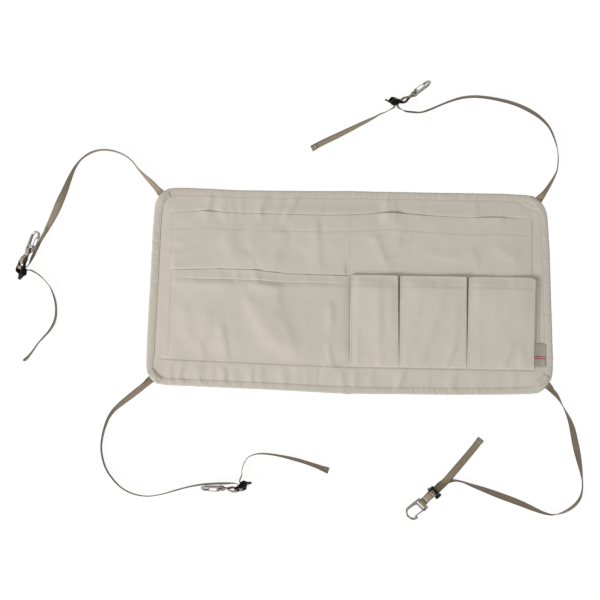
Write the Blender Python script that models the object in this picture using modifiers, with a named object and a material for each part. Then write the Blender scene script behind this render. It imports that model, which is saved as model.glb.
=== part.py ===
"""Tent storage pocket: a canvas wall organiser hung from four adjustable corner straps.

The pocket lies on its back as it would on a table: X runs along its long side, Y runs
up the panel and Z points out of its face. Sizes are in millimetres until MM turns them
into Blender's metres.
"""
import math

import bmesh
import bpy
from mathutils import Matrix, Vector

MM = 0.001

# Cloth and clearances
CANVAS = 1.0
POCKET_CLOTH = 0.9
BINDING_CLOTH = 0.6
SEWN_GAP = 0.3
FIT_GAP = 0.3
FLOOR_GAP = 0.1

# Panel and its binding
PANEL_WIDTH = 814.0
PANEL_HEIGHT = 400.0
TOP_TAKE_UP = 15.0
CORNER_RADIUS = 42.0
CORNER_STEPS = 6
BINDING_WIDTH = 13.5

# Levels of the cloth layers, each the underside of its layer
PANEL_LEVEL = BINDING_CLOTH + SEWN_GAP
PANEL_TOP = PANEL_LEVEL + CANVAS
BINDING_TOP = PANEL_TOP + SEWN_GAP + BINDING_CLOTH
BACK_POCKET_LEVEL = PANEL_TOP + SEWN_GAP
FRONT_POCKET_LEVEL = BACK_POCKET_LEVEL + POCKET_CLOTH + SEWN_GAP
TAB_LEVEL = BINDING_TOP + SEWN_GAP

# Back pocket, the full-width layer behind the others
BACK_HALF_WIDTH_TOP = 362.5
BACK_HALF_WIDTH_BOTTOM = 369.0
BACK_MOUTH = 157.5
BACK_BOTTOM = -148.0
BACK_DEPTH = 5.1
BACK_RISE_START = 57.0
BACK_RISE_END = 82.0
DIVIDER_X = 1.0
DIVIDER_HALF_WIDTH = 2.5
DIVIDER_SLOPE = 11.0

# Wide flat pocket at the left
LEFT_POCKET_LEFT_TOP = -362.5
LEFT_POCKET_LEFT_BOTTOM = -367.5
LEFT_POCKET_RIGHT = -4.5
LEFT_POCKET_MOUTH = 35.0
LEFT_POCKET_DEPTH = 5.1

# Three bellows pockets at the right
BELLOWS_EDGES = {
    "left": (1.0, 98.2),
    "middle": (102.4, 236.5),
    "right": (240.1, 374.5),
}
BELLOWS_MOUTH = 39.5
POCKET_BOTTOM = -145.5
BELLOWS_DEPTH = 7.2
GUSSET_FLANGE = 6.7
GUSSET_BASE_INSET = 0.8
GUSSET_TUCK = 6.2
OUTER_GUSSET_REACH = 9.5
OUTER_GUSSET_FOOT = 2.0
OUTER_GUSSET_FLANGE = 3.0
SEAM_ALLOWANCE = 5.0
SEAM_SLOPE = 10.0

# Folded label in the last gusset's seam
LABEL_LENGTH = 44.0
LABEL_REACH = 21.5
LABEL_TOP_Y = -93.0
LABEL_CLOTH = 0.6
LABEL_TIP_LEVEL = 4.0
LABEL_GAP = 0.45

# Folded tabs over the binding at the corners
TAB_WIDTH = 28.0
TAB_DEPTH = 13.0
TAB_CLOTH = 1.5
TAB_INSET = 2.5

# Webbing
WEBBING_WIDTH = 15.0
WEBBING = 1.3
ROUTE_STEP = 12.5
SEAT_GAP = 0.8
LIFT_SPAN = 75.0

# Ladder-lock buckle
BUCKLE_INNER = 16.6
RAIL_THICKNESS = 4.2
FIXED_BAR_RADIUS = 1.7
LOCK_BAR_AT = 11.0
LOCK_BAR_DROP = -1.2
LOCK_BAR_LENGTH = 4.2
LOCK_BAR_THICKNESS = 3.4
LIFT_BAR_AT = 15.2
LIFT_LENGTH = 21.0
LIFT_SLOPE = 15.5
LIFT_THICKNESS = 2.4
LIFT_HEIGHT = 6.4
LIFT_TIP_WIDTH = 8.0
LIFT_HOLE_RADIUS = 2.0
STRAP_IN_HEIGHT = 4.3
STRAP_OUT_HEIGHT = 8.6

# Sewn loop between buckle and hook
LOOP_LENGTH = 29.0
LOOP_TACK = 11.0
LOOP_BELLY = 4.9
LOOP_BELLY_AT = 6.0

# Flat snap hook with a wire gate
HOOK_THICKNESS = 4.4
HOOK_EDGE = 0.6
END_BAR_HALF = 1.9
SLOT_HALF_LENGTH = 9.1
SLOT_FAR_WALL = 6.5
CROSS_PIECE = 3.5
GATE_WIRE_RADIUS = 0.8
GATE_HINGE = (5.0, 12.2)
GATE_TIP = (28.2, 8.6)
GATE_TIP_HALF = 2.0

CORNERS = ("top_left", "top_right", "bottom_left", "bottom_right")

# How each hook and buckle lies: the buckle's fixed bar in plan, the way from there to the
# hook, how far the set is tipped over from standing on edge and how far the hook's end
# dips, how far buckle and hook turn on their bars, and the side that holds the gate
HARDWARE = {
    "top_left": {"bar": (-656.7, 44.9), "heading": 63.8, "tip": 40.0, "dip": 8.0,
                 "buckle": -19.3, "hook": -5.7, "gate_side": -1},
    "top_right": {"bar": (94.2, 386.1), "heading": 32.9, "tip": 20.0, "dip": -2.0,
                  "buckle": 39.3, "hook": -7.7, "gate_side": 1},
    "bottom_left": {"bar": (-219.4, -399.3), "heading": 175.0, "tip": 22.0, "dip": 4.0,
                    "buckle": -30.0, "hook": -7.9, "gate_side": 1},
    "bottom_right": {"bar": (175.5, -397.0), "heading": -133.5, "tip": 90.0, "dip": 0.0,
                     "buckle": 82.0, "hook": 0.0, "gate_side": 1},
}

# The way each strap lies from the panel's corner to its buckle, and its tail from the
# buckle to its end: x, y and how far the webbing is rolled from flat towards on edge.
# A fourth number is a height, where the webbing passes over another one.
STRAP_ROUTES = {
    "top_left": [
        (-381.1, 187.4, 45), (-391.5, 199.0, 60), (-402.7, 211.4, 70), (-417.1, 225.5, 82),
        (-430.5, 238.8, 87), (-443.9, 254.3, 86), (-464.3, 267.4, 85), (-488.6, 274.4, 83),
        (-508.6, 274.7, 83), (-528.5, 268.8, 82), (-546.2, 253.9, 83), (-556.8, 237.6, 70),
        (-567.3, 215.3, 63), (-576.7, 192.0, 43), (-586.2, 169.7, 47), (-595.7, 147.3, 40),
        (-607.1, 123.0, 51), (-615.7, 105.7, 71), (-623.3, 90.5, 79), (-631.8, 71.2, 72),
        (-639.0, 55.0, 62)],
    "top_right": [
        (372.5, 194.3, 57), (382.5, 210.2, 61), (392.2, 225.5, 70), (399.8, 239.7, 79),
        (406.5, 253.9, 86), (409.6, 275.1, 86), (407.8, 299.1, 88), (401.4, 321.0, 84),
        (391.2, 341.8, 79), (373.7, 360.0, 73), (351.3, 374.9, 69), (320.9, 388.2, 70),
        (290.6, 395.4, 75), (264.4, 399.2, 76), (238.3, 400.1, 75), (214.4, 396.5, 80),
        (190.5, 389.5, 84), (168.6, 380.3, 85), (150.8, 372.8, 85), (132.9, 366.8, 83),
        (114.8, 365.9, 84), (99.0, 368.0, 86)],
    "bottom_left": [
        (-396.2, -184.0, 51), (-407.5, -193.2, 50), (-418.3, -202.2, 49), (-436.0, -217.3, 53),
        (-454.6, -233.4, 63), (-468.3, -247.6, 71), (-477.0, -261.8, 76), (-483.9, -281.0, 79),
        (-488.6, -303.2, 81), (-489.5, -323.3, 82), (-485.7, -344.3, 83), (-477.4, -365.1, 83),
        (-463.9, -384.8, 85), (-446.4, -401.4, 86), (-423.0, -412.9, 86), (-395.9, -416.6, 86),
        (-370.9, -413.0, 87), (-341.0, -404.2, 85), (-315.1, -396.5, 85), (-287.2, -391.6, 85),
        (-261.2, -388.9, 85), (-235.1, -387.5, 84), (-224.0, -387.0, 82)],
    "bottom_right": [
        (402.5, -176.4, 49), (411.3, -184.6, 55), (419.8, -194.0, 64), (427.1, -204.8, 81),
        (433.2, -215.7, 87), (439.7, -227.6, 79), (447.2, -243.4, 63), (453.3, -263.3, 44),
        (457.8, -283.3, 39), (462.7, -303.2, 40), (467.2, -323.2, 56), (471.8, -343.1, 70),
        (475.1, -363.1, 83), (476.1, -381.1, 83), (472.6, -400.2, 79), (463.5, -413.5, 75),
        (447.7, -424.5, 71), (431.9, -430.8, 79), (415.9, -433.4, 85), (401.8, -431.1, 75),
        (381.5, -423.6, 64), (361.3, -415.3, 51), (337.0, -406.7, 42), (310.7, -398.5, 38),
        (290.5, -391.4, 42), (270.2, -384.3, 54), (250.0, -377.6, 66), (235.8, -373.3, 72, 7.9),
        (220.0, -370.6, 66, 8.2), (206.5, -371.6, 40, 9.0), (195.0, -377.5, 15, 10.0)],
}
TAIL_ROUTES = {
    "top_left": [
        (-641.8, 29.6, 93), (-632.7, 25.5, 87), (-621.5, 18.3, 88), (-610.2, 7.6, 89),
        (-601.5, -2.2, 89), (-594.6, -15.1, 83), (-589.6, -29.0, 79), (-587.3, -47.0, 78),
        (-588.3, -63.1, 78), (-593.0, -78.2, 77), (-600.6, -91.5, 79), (-611.4, -103.8, 84),
        (-623.1, -117.1, 87), (-632.8, -130.4, 88), (-642.5, -141.7, 83), (-651.3, -151.9, 86)],
    "top_right": [
        (72.0, 370.0, 84), (62.6, 364.6, 86), (50.8, 358.3, 86), (40.9, 353.0, 79),
        (27.1, 346.5, 75), (5.3, 335.5, 63), (-18.4, 322.8, 53), (-42.2, 310.6, 49),
        (-64.0, 299.2, 44), (-84.8, 288.0, 38)],
    "bottom_left": [
        (-208.0, -370.3, 94), (-207.2, -358.3, 91), (-203.7, -346.2, 90), (-196.4, -334.9, 88),
        (-184.5, -328.0, 87), (-168.5, -325.2, 85), (-150.4, -326.0, 82), (-128.3, -329.4, 75),
        (-104.1, -334.2, 69), (-79.9, -340.6, 65), (-57.6, -348.5, 61), (-34.3, -358.3, 50)],
    "bottom_right": [
        (199.8, -372.1, 4, 16.6), (219.2, -349.5, 9, 13.2), (238.7, -326.9, 14, 7.2),
        (258.1, -303.4, 16), (270.7, -286.0, 16)],
}


def clear_scene():
    for item in list(bpy.data.objects):
        bpy.data.objects.remove(item, do_unlink=True)


def new_collection(name):
    collection = bpy.data.collections.new(name)
    bpy.context.scene.collection.children.link(collection)
    return collection


def new_material(name, color, roughness, metallic=0.0):
    material = bpy.data.materials.new(name)
    material.use_nodes = True
    surface = material.node_tree.nodes["Principled BSDF"]
    surface.inputs["Base Color"].default_value = (*color, 1.0)
    surface.inputs["Roughness"].default_value = roughness
    surface.inputs["Metallic"].default_value = metallic
    material.diffuse_color = (*color, 1.0)
    return material


clear_scene()
PARTS = new_collection("tent_storage_pocket")
GUIDES = new_collection("guides")

CANVAS_FINISH = new_material("canvas", (0.57, 0.52, 0.45), 0.9)
LABEL_FINISH = new_material("label_cloth", (0.42, 0.40, 0.36), 0.85)
WEBBING_FINISH = new_material("webbing", (0.23, 0.19, 0.14), 0.8)
BUCKLE_FINISH = new_material("buckle_plastic", (0.012, 0.011, 0.010), 0.4)
HOOK_FINISH = new_material("hook_aluminium", (0.62, 0.62, 0.60), 0.35, 1.0)
GATE_FINISH = new_material("gate_steel", (0.35, 0.34, 0.32), 0.3, 1.0)


def place(name, data, material, matrix=None):
    """Adds one sub-part to the model."""
    data.materials.clear()
    data.materials.append(material)
    item = bpy.data.objects.new(name, data)
    PARTS.objects.link(item)
    if matrix is not None:
        item.matrix_world = matrix
    return item


def shade(mesh, angle=35.0):
    mesh.shade_smooth()
    mesh.set_sharp_from_angle(angle=math.radians(angle))


def moved_in(points, distance):
    """An anticlockwise outline with every edge moved inwards by the same distance."""
    moved = []
    for i, point in enumerate(points):
        before = (point - points[i - 1]).normalized()
        after = (points[(i + 1) % len(points)] - point).normalized()
        before_normal = Vector((-before.y, before.x))
        after_normal = Vector((-after.y, after.x))
        share = distance / (1.0 + before_normal.dot(after_normal))
        moved.append(point + (before_normal + after_normal) * share)
    return moved


def rounded(corners, steps=4):
    """An outline whose corners, given as x, y and radius, are turned into arcs."""
    outline = []
    for i, (x, y, radius) in enumerate(corners):
        point = Vector((x, y))
        if radius == 0:
            outline.append(point)
            continue
        to_before = (Vector(corners[i - 1][:2]) - point).normalized()
        to_after = (Vector(corners[(i + 1) % len(corners)][:2]) - point).normalized()
        half_angle = to_before.angle(to_after) / 2
        middle = (to_before + to_after).normalized()
        centre = point + middle * (radius / math.sin(half_angle))
        first = point + to_before * (radius / math.tan(half_angle)) - centre
        last = point + to_after * (radius / math.tan(half_angle)) - centre
        turn = math.atan2(first.x * last.y - first.y * last.x, first.dot(last))
        for step in range(steps + 1):
            angle = turn * step / steps
            spoke = Vector((first.x * math.cos(angle) - first.y * math.sin(angle),
                            first.x * math.sin(angle) + first.y * math.cos(angle)))
            outline.append(centre + spoke)
    return outline


def band(path, thickness, bend, steps=3):
    """The outline of a strip seen edge-on, bent to a radius wherever its path turns."""
    half = thickness / 2
    right, left = [], []
    for i, point in enumerate(path):
        after = (path[min(i + 1, len(path) - 1)] - path[min(i, len(path) - 2)]).normalized()
        before = (path[max(i, 1)] - path[max(i - 1, 0)]).normalized()
        swing = before.x * after.y - before.y * after.x
        normals = Vector((-before.y, before.x)) + Vector((-after.y, after.x))
        side = normals * (half / (1 + before.dot(after)))
        radius = 0 if abs(swing) < 1e-6 else bend
        share = half if swing > 0 else -half
        right.append((*(point - side), radius + share if radius else 0))
        left.append((*(point + side), radius - share if radius else 0))
    return rounded(right + left[::-1], steps)


def circle(x, y, radius, count=16):
    turns = [2 * math.pi * i / count for i in range(count)]
    return [Vector((x + radius * math.cos(a), y + radius * math.sin(a))) for a in turns]


def outline_curve(name, outlines, depth, edge=0.0):
    """A flat 2D curve with thickness, the first outline outside and the rest holes."""
    curve = bpy.data.curves.new(name, "CURVE")
    curve.dimensions = "2D"
    curve.fill_mode = "BOTH"
    curve.extrude = (depth / 2 - edge) * MM
    curve.bevel_depth = edge * MM
    curve.bevel_resolution = 0
    curve.offset = -edge * MM
    for outline in outlines:
        spline = curve.splines.new("POLY")
        spline.points.add(len(outline) - 1)
        for point, corner in zip(spline.points, outline):
            point.co = (corner[0] * MM, corner[1] * MM, 0.0, 1.0)
        spline.use_cyclic_u = True
    return curve


def welded_mesh(name, data):
    """The evaluated mesh of a curve or a modified object, with its seams welded."""
    item = data if isinstance(data, bpy.types.Object) else bpy.data.objects.new(name, data)
    if item.name not in bpy.context.scene.objects:
        GUIDES.objects.link(item)
    graph = bpy.context.evaluated_depsgraph_get()
    mesh = bpy.data.meshes.new_from_object(item.evaluated_get(graph))
    mesh.name = name
    bpy.data.objects.remove(item, do_unlink=True)
    work = bmesh.new()
    work.from_mesh(mesh)
    bmesh.ops.remove_doubles(work, verts=work.verts, dist=0.005 * MM)
    bmesh.ops.recalc_face_normals(work, faces=work.faces)
    work.to_mesh(mesh)
    work.free()
    return mesh


def fused(name, meshes):
    """One mesh made of several that overlap, joined by Boolean unions."""
    operands = []
    for i, mesh in enumerate(meshes):
        item = bpy.data.objects.new(f"{name}_piece_{i}", mesh)
        GUIDES.objects.link(item)
        item.hide_render = True
        item.display_type = "WIRE"
        operands.append(item)
    body = operands[0]
    for i, operand in enumerate(operands[1:]):
        union = body.modifiers.new(f"union_{i}", "BOOLEAN")
        union.operation = "UNION"
        union.solver = "EXACT"
        union.object = operand
    mesh = welded_mesh(name, body)
    for operand in operands[1:]:
        bpy.data.objects.remove(operand, do_unlink=True)
    return mesh


# Panel and binding

def panel_half_width(y):
    return PANEL_WIDTH / 2 - TOP_TAKE_UP * (y + PANEL_HEIGHT / 2) / PANEL_HEIGHT


def panel_outline(inset):
    """The panel's rounded outline, moved in from the binding's outer edge."""
    low, high = -PANEL_HEIGHT / 2, PANEL_HEIGHT / 2
    corners = [Vector((-panel_half_width(low), low)), Vector((panel_half_width(low), low)),
               Vector((panel_half_width(high), high)), Vector((-panel_half_width(high), high))]
    radius = CORNER_RADIUS - inset
    return rounded([(*point, radius) for point in moved_in(corners, inset)], CORNER_STEPS)


def make_main_panel():
    inset = BINDING_CLOTH + SEWN_GAP
    curve = outline_curve("main_panel", [panel_outline(inset)], CANVAS)
    level = (PANEL_LEVEL + CANVAS / 2) * MM
    place("main_panel", curve, CANVAS_FINISH, Matrix.Translation((0, 0, level)))


def make_edge_binding():
    """A folded strip that grips the panel's edge: a U section swept round the outline."""
    round_off = BINDING_TOP * 0.3
    corners = [(-BINDING_WIDTH, BINDING_TOP), (-round_off, BINDING_TOP),
               (0, BINDING_TOP - round_off), (0, round_off), (-round_off, 0),
               (-BINDING_WIDTH, 0), (-BINDING_WIDTH, BINDING_CLOTH),
               (-BINDING_CLOTH, BINDING_CLOTH), (-BINDING_CLOTH, BINDING_TOP - BINDING_CLOTH),
               (-BINDING_WIDTH, BINDING_TOP - BINDING_CLOTH)]
    edge = [Vector((*point, 0, 0)) for point in panel_outline(0)]
    mesh = swept("edge_binding", edge, section_guide("binding_section", corners), closed=True)
    shade(mesh, 50)
    place("edge_binding", mesh, CANVAS_FINISH)


def section_guide(name, corners):
    """A closed outline that a route carries along it."""
    section = bpy.data.objects.new(name, outline_curve(name, [corners], 0))
    section.data.fill_mode = "NONE"
    section.hide_render = True
    section.display_type = "WIRE"
    GUIDES.objects.link(section)
    return section


def swept(name, route, section, closed=False):
    """A section carried along a route of x, y, z and roll in degrees."""
    curve = bpy.data.curves.new(name, "CURVE")
    curve.dimensions = "3D"
    curve.twist_mode = "Z_UP"
    curve.bevel_mode = "OBJECT"
    curve.bevel_object = section
    curve.use_fill_caps = not closed
    spline = curve.splines.new("POLY")
    spline.points.add(len(route) - 1)
    for point, (x, y, z, roll) in zip(spline.points, route):
        point.co = (x * MM, y * MM, z * MM, 1.0)
        point.tilt = math.radians(roll)
    spline.use_cyclic_u = closed
    return welded_mesh(name, curve)


def bmesh_bridge(work, first, second, closed=False):
    """Quads between two rows of vertices that run the same way."""
    count = len(first) if closed else len(first) - 1
    for i in range(count):
        j = (i + 1) % len(first)
        work.faces.new((first[i], first[j], second[j], second[i]))


# Pockets

def pouch(name, left, right, bottom, mouth, level, profiles, columns=(), rows=(0, 1), lift=None):
    """A pocket front sewn down at both sides and the bottom, and open at its mouth.

    Each profile is a list of (inset, height) steps from the seam up to the pocket's face,
    for its left, bottom and right side. A column is (x, share of the height), which lets a
    seam run up the middle of a pocket. Rows are shares of the way from mouth to bottom.
    """
    lift = lift or (lambda y: 1.0)
    sides = {"left": left, "right": right}
    work = bmesh.new()
    base = level + POCKET_CLOTH / 2

    def vertex(x, y, height):
        return work.verts.new((x * MM, y * MM, (base + height * lift(y)) * MM))

    def side_point(side, step, row):
        inset, height = profiles[side][step]
        low_inset, low_height = profiles["bottom"][step]
        y = mouth + (bottom + low_inset - mouth) * row
        x = sides[side](y) + (inset if side == "left" else -inset)
        return vertex(x, y, low_height if row == 1 else height)

    rings = []
    for step, (low_inset, low_height) in enumerate(profiles["bottom"]):
        down = [side_point("left", step, row) for row in rows]
        along = [vertex(x, bottom + low_inset, low_height * share) for x, share in columns]
        up = [side_point("right", step, row) for row in reversed(rows)]
        rings.append(down + along + up)
    for lower, upper in zip(rings, rings[1:]):
        bmesh_bridge(work, lower, upper)
    last = rings[-1]
    count = len(rows)
    face_height = profiles["bottom"][-1][1]
    previous = None
    for i, row in enumerate(rows):
        if i == count - 1:
            line = last[count - 1:len(last) - count + 1]
        else:
            y = last[i].co.y / MM
            inner = [vertex(x, y, face_height * share) for x, share in columns]
            line = [last[i], *inner, last[len(last) - 1 - i]]
        if previous:
            bmesh_bridge(work, previous, line)
        previous = line
    bmesh.ops.recalc_face_normals(work, faces=work.faces)
    mesh = bpy.data.meshes.new(name)
    work.to_mesh(mesh)
    work.free()
    shade(mesh, 60)
    item = place(name, mesh, CANVAS_FINISH)
    cloth = item.modifiers.new("cloth", "SOLIDIFY")
    cloth.thickness = POCKET_CLOTH * MM
    cloth.offset = 0.0
    cloth.use_even_offset = True
    return item


def flat_profile(depth):
    return [(0, 0), (SEAM_ALLOWANCE, 0), (SEAM_ALLOWANCE + SEAM_SLOPE, depth)]


def along_side(top_x, bottom_x, top_y, bottom_y):
    """A straight side seam as a function of y."""
    return lambda y: bottom_x + (top_x - bottom_x) * (y - bottom_y) / (top_y - bottom_y)


def make_back_pocket():
    """Two deep pockets side by side: one cloth, with a seam up its middle."""
    side = along_side(BACK_HALF_WIDTH_TOP, BACK_HALF_WIDTH_BOTTOM, BACK_MOUTH, BACK_BOTTOM)
    profile = flat_profile(BACK_DEPTH)
    foot = DIVIDER_HALF_WIDTH
    crown = DIVIDER_HALF_WIDTH + DIVIDER_SLOPE
    columns = [(DIVIDER_X - crown, 1), (DIVIDER_X - foot, 0),
               (DIVIDER_X + foot, 0), (DIVIDER_X + crown, 1)]
    span = BACK_RISE_END - BACK_RISE_START
    reach = BACK_MOUTH - BACK_BOTTOM - SEAM_ALLOWANCE - SEAM_SLOPE
    rows = [0, (BACK_MOUTH - BACK_RISE_END) / reach, (BACK_MOUTH - BACK_RISE_START) / reach, 1]
    pouch("back_pocket", lambda y: -side(y), side, BACK_BOTTOM, BACK_MOUTH, BACK_POCKET_LEVEL,
          {"left": profile, "bottom": profile, "right": profile}, columns, rows,
          lambda y: min(1.0, max(0.0, (y - BACK_RISE_START) / span)))


def make_left_pocket():
    side = along_side(LEFT_POCKET_LEFT_TOP, LEFT_POCKET_LEFT_BOTTOM,
                      LEFT_POCKET_MOUTH, POCKET_BOTTOM)
    profile = flat_profile(LEFT_POCKET_DEPTH)
    pouch("left_pocket", side, lambda y: LEFT_POCKET_RIGHT, POCKET_BOTTOM, LEFT_POCKET_MOUTH,
          FRONT_POCKET_LEVEL, {"left": profile, "bottom": profile, "right": profile},
          rows=(0, 0.5, 1))


def gusset_profile():
    """Seam flange, foot, tucked fold and front edge of a gusset that folds inwards."""
    return [(GUSSET_BASE_INSET + GUSSET_FLANGE, 0), (GUSSET_BASE_INSET, 0),
            (GUSSET_BASE_INSET + GUSSET_TUCK, BELLOWS_DEPTH / 2), (POCKET_CLOTH / 2, BELLOWS_DEPTH)]


def outer_gusset_profile():
    """The last pocket's right gusset folds outwards, and its foot is on the panel."""
    drop = BACK_POCKET_LEVEL - FRONT_POCKET_LEVEL
    return [(OUTER_GUSSET_FOOT + OUTER_GUSSET_FLANGE, drop), (OUTER_GUSSET_FOOT, drop),
            (-OUTER_GUSSET_REACH, BELLOWS_DEPTH / 2), (POCKET_CLOTH / 2, BELLOWS_DEPTH)]


def make_bellows_pockets():
    for place_name, (left_x, right_x) in BELLOWS_EDGES.items():
        profile = gusset_profile()
        right = outer_gusset_profile() if place_name == "right" else profile
        pouch(f"bellows_pocket_{place_name}", lambda y, x=left_x: x, lambda y, x=right_x: x,
              POCKET_BOTTOM, BELLOWS_MOUTH, FRONT_POCKET_LEVEL,
              {"left": profile, "bottom": profile, "right": right}, rows=(0, 0.5, 1))


def make_side_label():
    """A folded label sewn into the seam: it lies over the gusset and bends down past it."""
    edge = BELLOWS_EDGES["right"][1]
    face = FRONT_POCKET_LEVEL + POCKET_CLOTH / 2 + BELLOWS_DEPTH
    seam = Vector((edge - POCKET_CLOTH / 2, face))
    fold = Vector((edge + OUTER_GUSSET_REACH, face - BELLOWS_DEPTH / 2))
    along = (fold - seam).normalized()
    off = Vector((-along.y, along.x)) * ((POCKET_CLOTH + LABEL_CLOTH) / 2 + LABEL_GAP)
    tip = Vector((edge + LABEL_REACH, LABEL_TIP_LEVEL))
    outline = band([seam + off + along, fold + off + along * 2.5, tip], LABEL_CLOTH, 6.0)
    mesh = profile_solid("side_label", [outline], LABEL_LENGTH)
    shade(mesh, 60)
    middle = LABEL_TOP_Y - LABEL_LENGTH / 2
    place("side_label", mesh, LABEL_FINISH, Matrix.Translation((0, middle * MM, 0)))


def corner_centre(corner):
    """The centre of a corner's arc, and the way out along its diagonal."""
    up = 1 if corner.startswith("top") else -1
    out = 1 if corner.endswith("right") else -1
    edge = panel_half_width(up * PANEL_HEIGHT / 2)
    centre = Vector((out * (edge - CORNER_RADIUS), up * (PANEL_HEIGHT / 2 - CORNER_RADIUS)))
    return centre, Vector((out, up)).normalized()


def make_corner_tabs():
    for corner in CORNERS:
        centre, outward = corner_centre(corner)
        middle = centre + outward * (CORNER_RADIUS - TAB_INSET - TAB_DEPTH / 2)
        half_width, half_depth = TAB_WIDTH / 2, TAB_DEPTH / 2
        box = [(-half_width, -half_depth, 3), (half_width, -half_depth, 3),
               (half_width, half_depth, 5), (-half_width, half_depth, 5)]
        curve = outline_curve(f"corner_tab_{corner}", [rounded(box, 3)], TAB_CLOTH, 0.4)
        turn = math.atan2(outward.y, outward.x) - math.pi / 2
        level = TAB_LEVEL + TAB_CLOTH / 2
        matrix = (Matrix.Translation((middle.x * MM, middle.y * MM, level * MM))
                  @ Matrix.Rotation(turn, 4, "Z"))
        place(f"corner_tab_{corner}", curve, CANVAS_FINISH, matrix)


# Hooks, buckles and their loops

def bar_to_bar(profile_mesh):
    """Turns a side profile drawn in X and Y so that it runs along the bars, in Y."""
    profile_mesh.transform(Matrix.Rotation(math.pi / 2, 4, "X"))
    return profile_mesh


def profile_solid(name, outlines, width, edge=0.0):
    return bar_to_bar(welded_mesh(name, outline_curve(name, outlines, width, edge)))


def buckle_mesh():
    """Ladder-lock buckle: X runs from the fixed bar to the lift tab, Z out of its back."""
    rail = rounded([(-2.4, -2.3, 2.1), (7.0, -2.7, 4.0), (13.0, -5.0, 3.0), (20.5, -4.8, 2.5),
                    (25.5, 2.6, 2.0), (24.6, 6.8, 2.0), (20.5, 8.4, 2.5), (14.6, 7.8, 2.5),
                    (7.5, 2.7, 4.0), (-2.4, 2.3, 2.1)], 2)
    rail_at = (BUCKLE_INNER + RAIL_THICKNESS) / 2
    pieces = []
    for side in (-1, 1):
        mesh = profile_solid("rail", [rail], RAIL_THICKNESS, 0.5)
        mesh.transform(Matrix.Translation((0, side * rail_at * MM, 0)))
        pieces.append(mesh)
    bar_length = BUCKLE_INNER + RAIL_THICKNESS
    pieces.append(profile_solid("fixed_bar", [circle(0, 0, FIXED_BAR_RADIUS, 12)], bar_length))
    half, thick = LOCK_BAR_LENGTH / 2, LOCK_BAR_THICKNESS / 2
    lock = rounded([(LOCK_BAR_AT - half, LOCK_BAR_DROP - thick, 1.2),
                    (LOCK_BAR_AT + half, LOCK_BAR_DROP - thick, 1.2),
                    (LOCK_BAR_AT + half, LOCK_BAR_DROP + thick, 0.5),
                    (LOCK_BAR_AT - half, LOCK_BAR_DROP + thick, 0.5)], 3)
    pieces.append(profile_solid("lock_bar", [lock], bar_length))
    pieces.append(lift_tab_mesh())
    return fused("buckle", pieces)


def lift_tab_mesh():
    """The tapered tab that is lifted to slacken the strap, with a cord hole at its tip."""
    half = (BUCKLE_INNER + 2 * RAIL_THICKNESS) / 2
    tip = LIFT_TIP_WIDTH / 2
    plan = rounded([(0, -half + 0.6, 0.4), (8.0, -half + 0.6, 5.0), (LIFT_LENGTH, -tip, 3.0),
                    (LIFT_LENGTH, tip, 3.0), (8.0, half - 0.6, 5.0), (0, half - 0.6, 0.4)], 3)
    hole = circle(LIFT_LENGTH - 4.6, 0, LIFT_HOLE_RADIUS, 12)
    mesh = welded_mesh("lift_tab", outline_curve("lift_tab", [plan, hole], LIFT_THICKNESS, 0.4))
    matrix = (Matrix.Translation((LIFT_BAR_AT * MM, 0, LIFT_HEIGHT * MM))
              @ Matrix.Rotation(math.radians(LIFT_SLOPE), 4, "Y"))
    mesh.transform(matrix)
    return mesh


def wrap_leg():
    """How far each leg of the webbing is from the middle of the lock bar."""
    return LOCK_BAR_LENGTH / 2 + FIT_GAP + WEBBING / 2


def wrap_outline():
    """Webbing round the lock bar, in through the first slot and out through the second."""
    low = LOCK_BAR_DROP - LOCK_BAR_THICKNESS / 2 - FIT_GAP - WEBBING / 2
    near, far = LOCK_BAR_AT - wrap_leg(), LOCK_BAR_AT + wrap_leg()
    path = [Vector((near, STRAP_IN_HEIGHT)), Vector((near, low)),
            Vector((far, low)), Vector((far, STRAP_OUT_HEIGHT))]
    return band(path, WEBBING, 1.9)


def loop_outlines():
    """Side view of the sewn loop: X runs from the buckle's fixed bar to the hook's end bar."""
    hook_eye = math.hypot(END_BAR_HALF, HOOK_THICKNESS / 2) + FIT_GAP
    bar_eye = FIXED_BAR_RADIUS + FIT_GAP
    outer_eye = hook_eye + WEBBING
    outer_bar = bar_eye + WEBBING
    tack = LOOP_LENGTH - LOOP_TACK
    neck = LOOP_LENGTH - outer_eye - 2.0
    cap = [(LOOP_LENGTH + outer_eye * math.cos(a), outer_eye * math.sin(a), 0)
           for a in (math.radians(-135 + 27 * i) for i in range(11))]
    belly, cavity = LOOP_BELLY, LOOP_BELLY - WEBBING
    outside = [(-outer_bar, -outer_bar, outer_bar - 0.2), (LOOP_BELLY_AT, -belly, 6.0),
               (tack, -WEBBING, 8.0), (neck, -WEBBING, 1.5), *cap, (neck, WEBBING, 1.5),
               (tack, WEBBING, 8.0), (LOOP_BELLY_AT, belly, 6.0),
               (-outer_bar, outer_bar, outer_bar - 0.2)]
    inside = [(-bar_eye, -bar_eye, bar_eye - 0.2), (LOOP_BELLY_AT, -cavity, 4.7),
              (tack - 1, -0.2, 0), (tack - 1, 0.2, 0), (LOOP_BELLY_AT, cavity, 4.7),
              (-bar_eye, bar_eye, bar_eye - 0.2)]
    return [rounded(outside, 3), circle(LOOP_LENGTH, 0, hook_eye, 16), rounded(inside, 3)]


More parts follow.
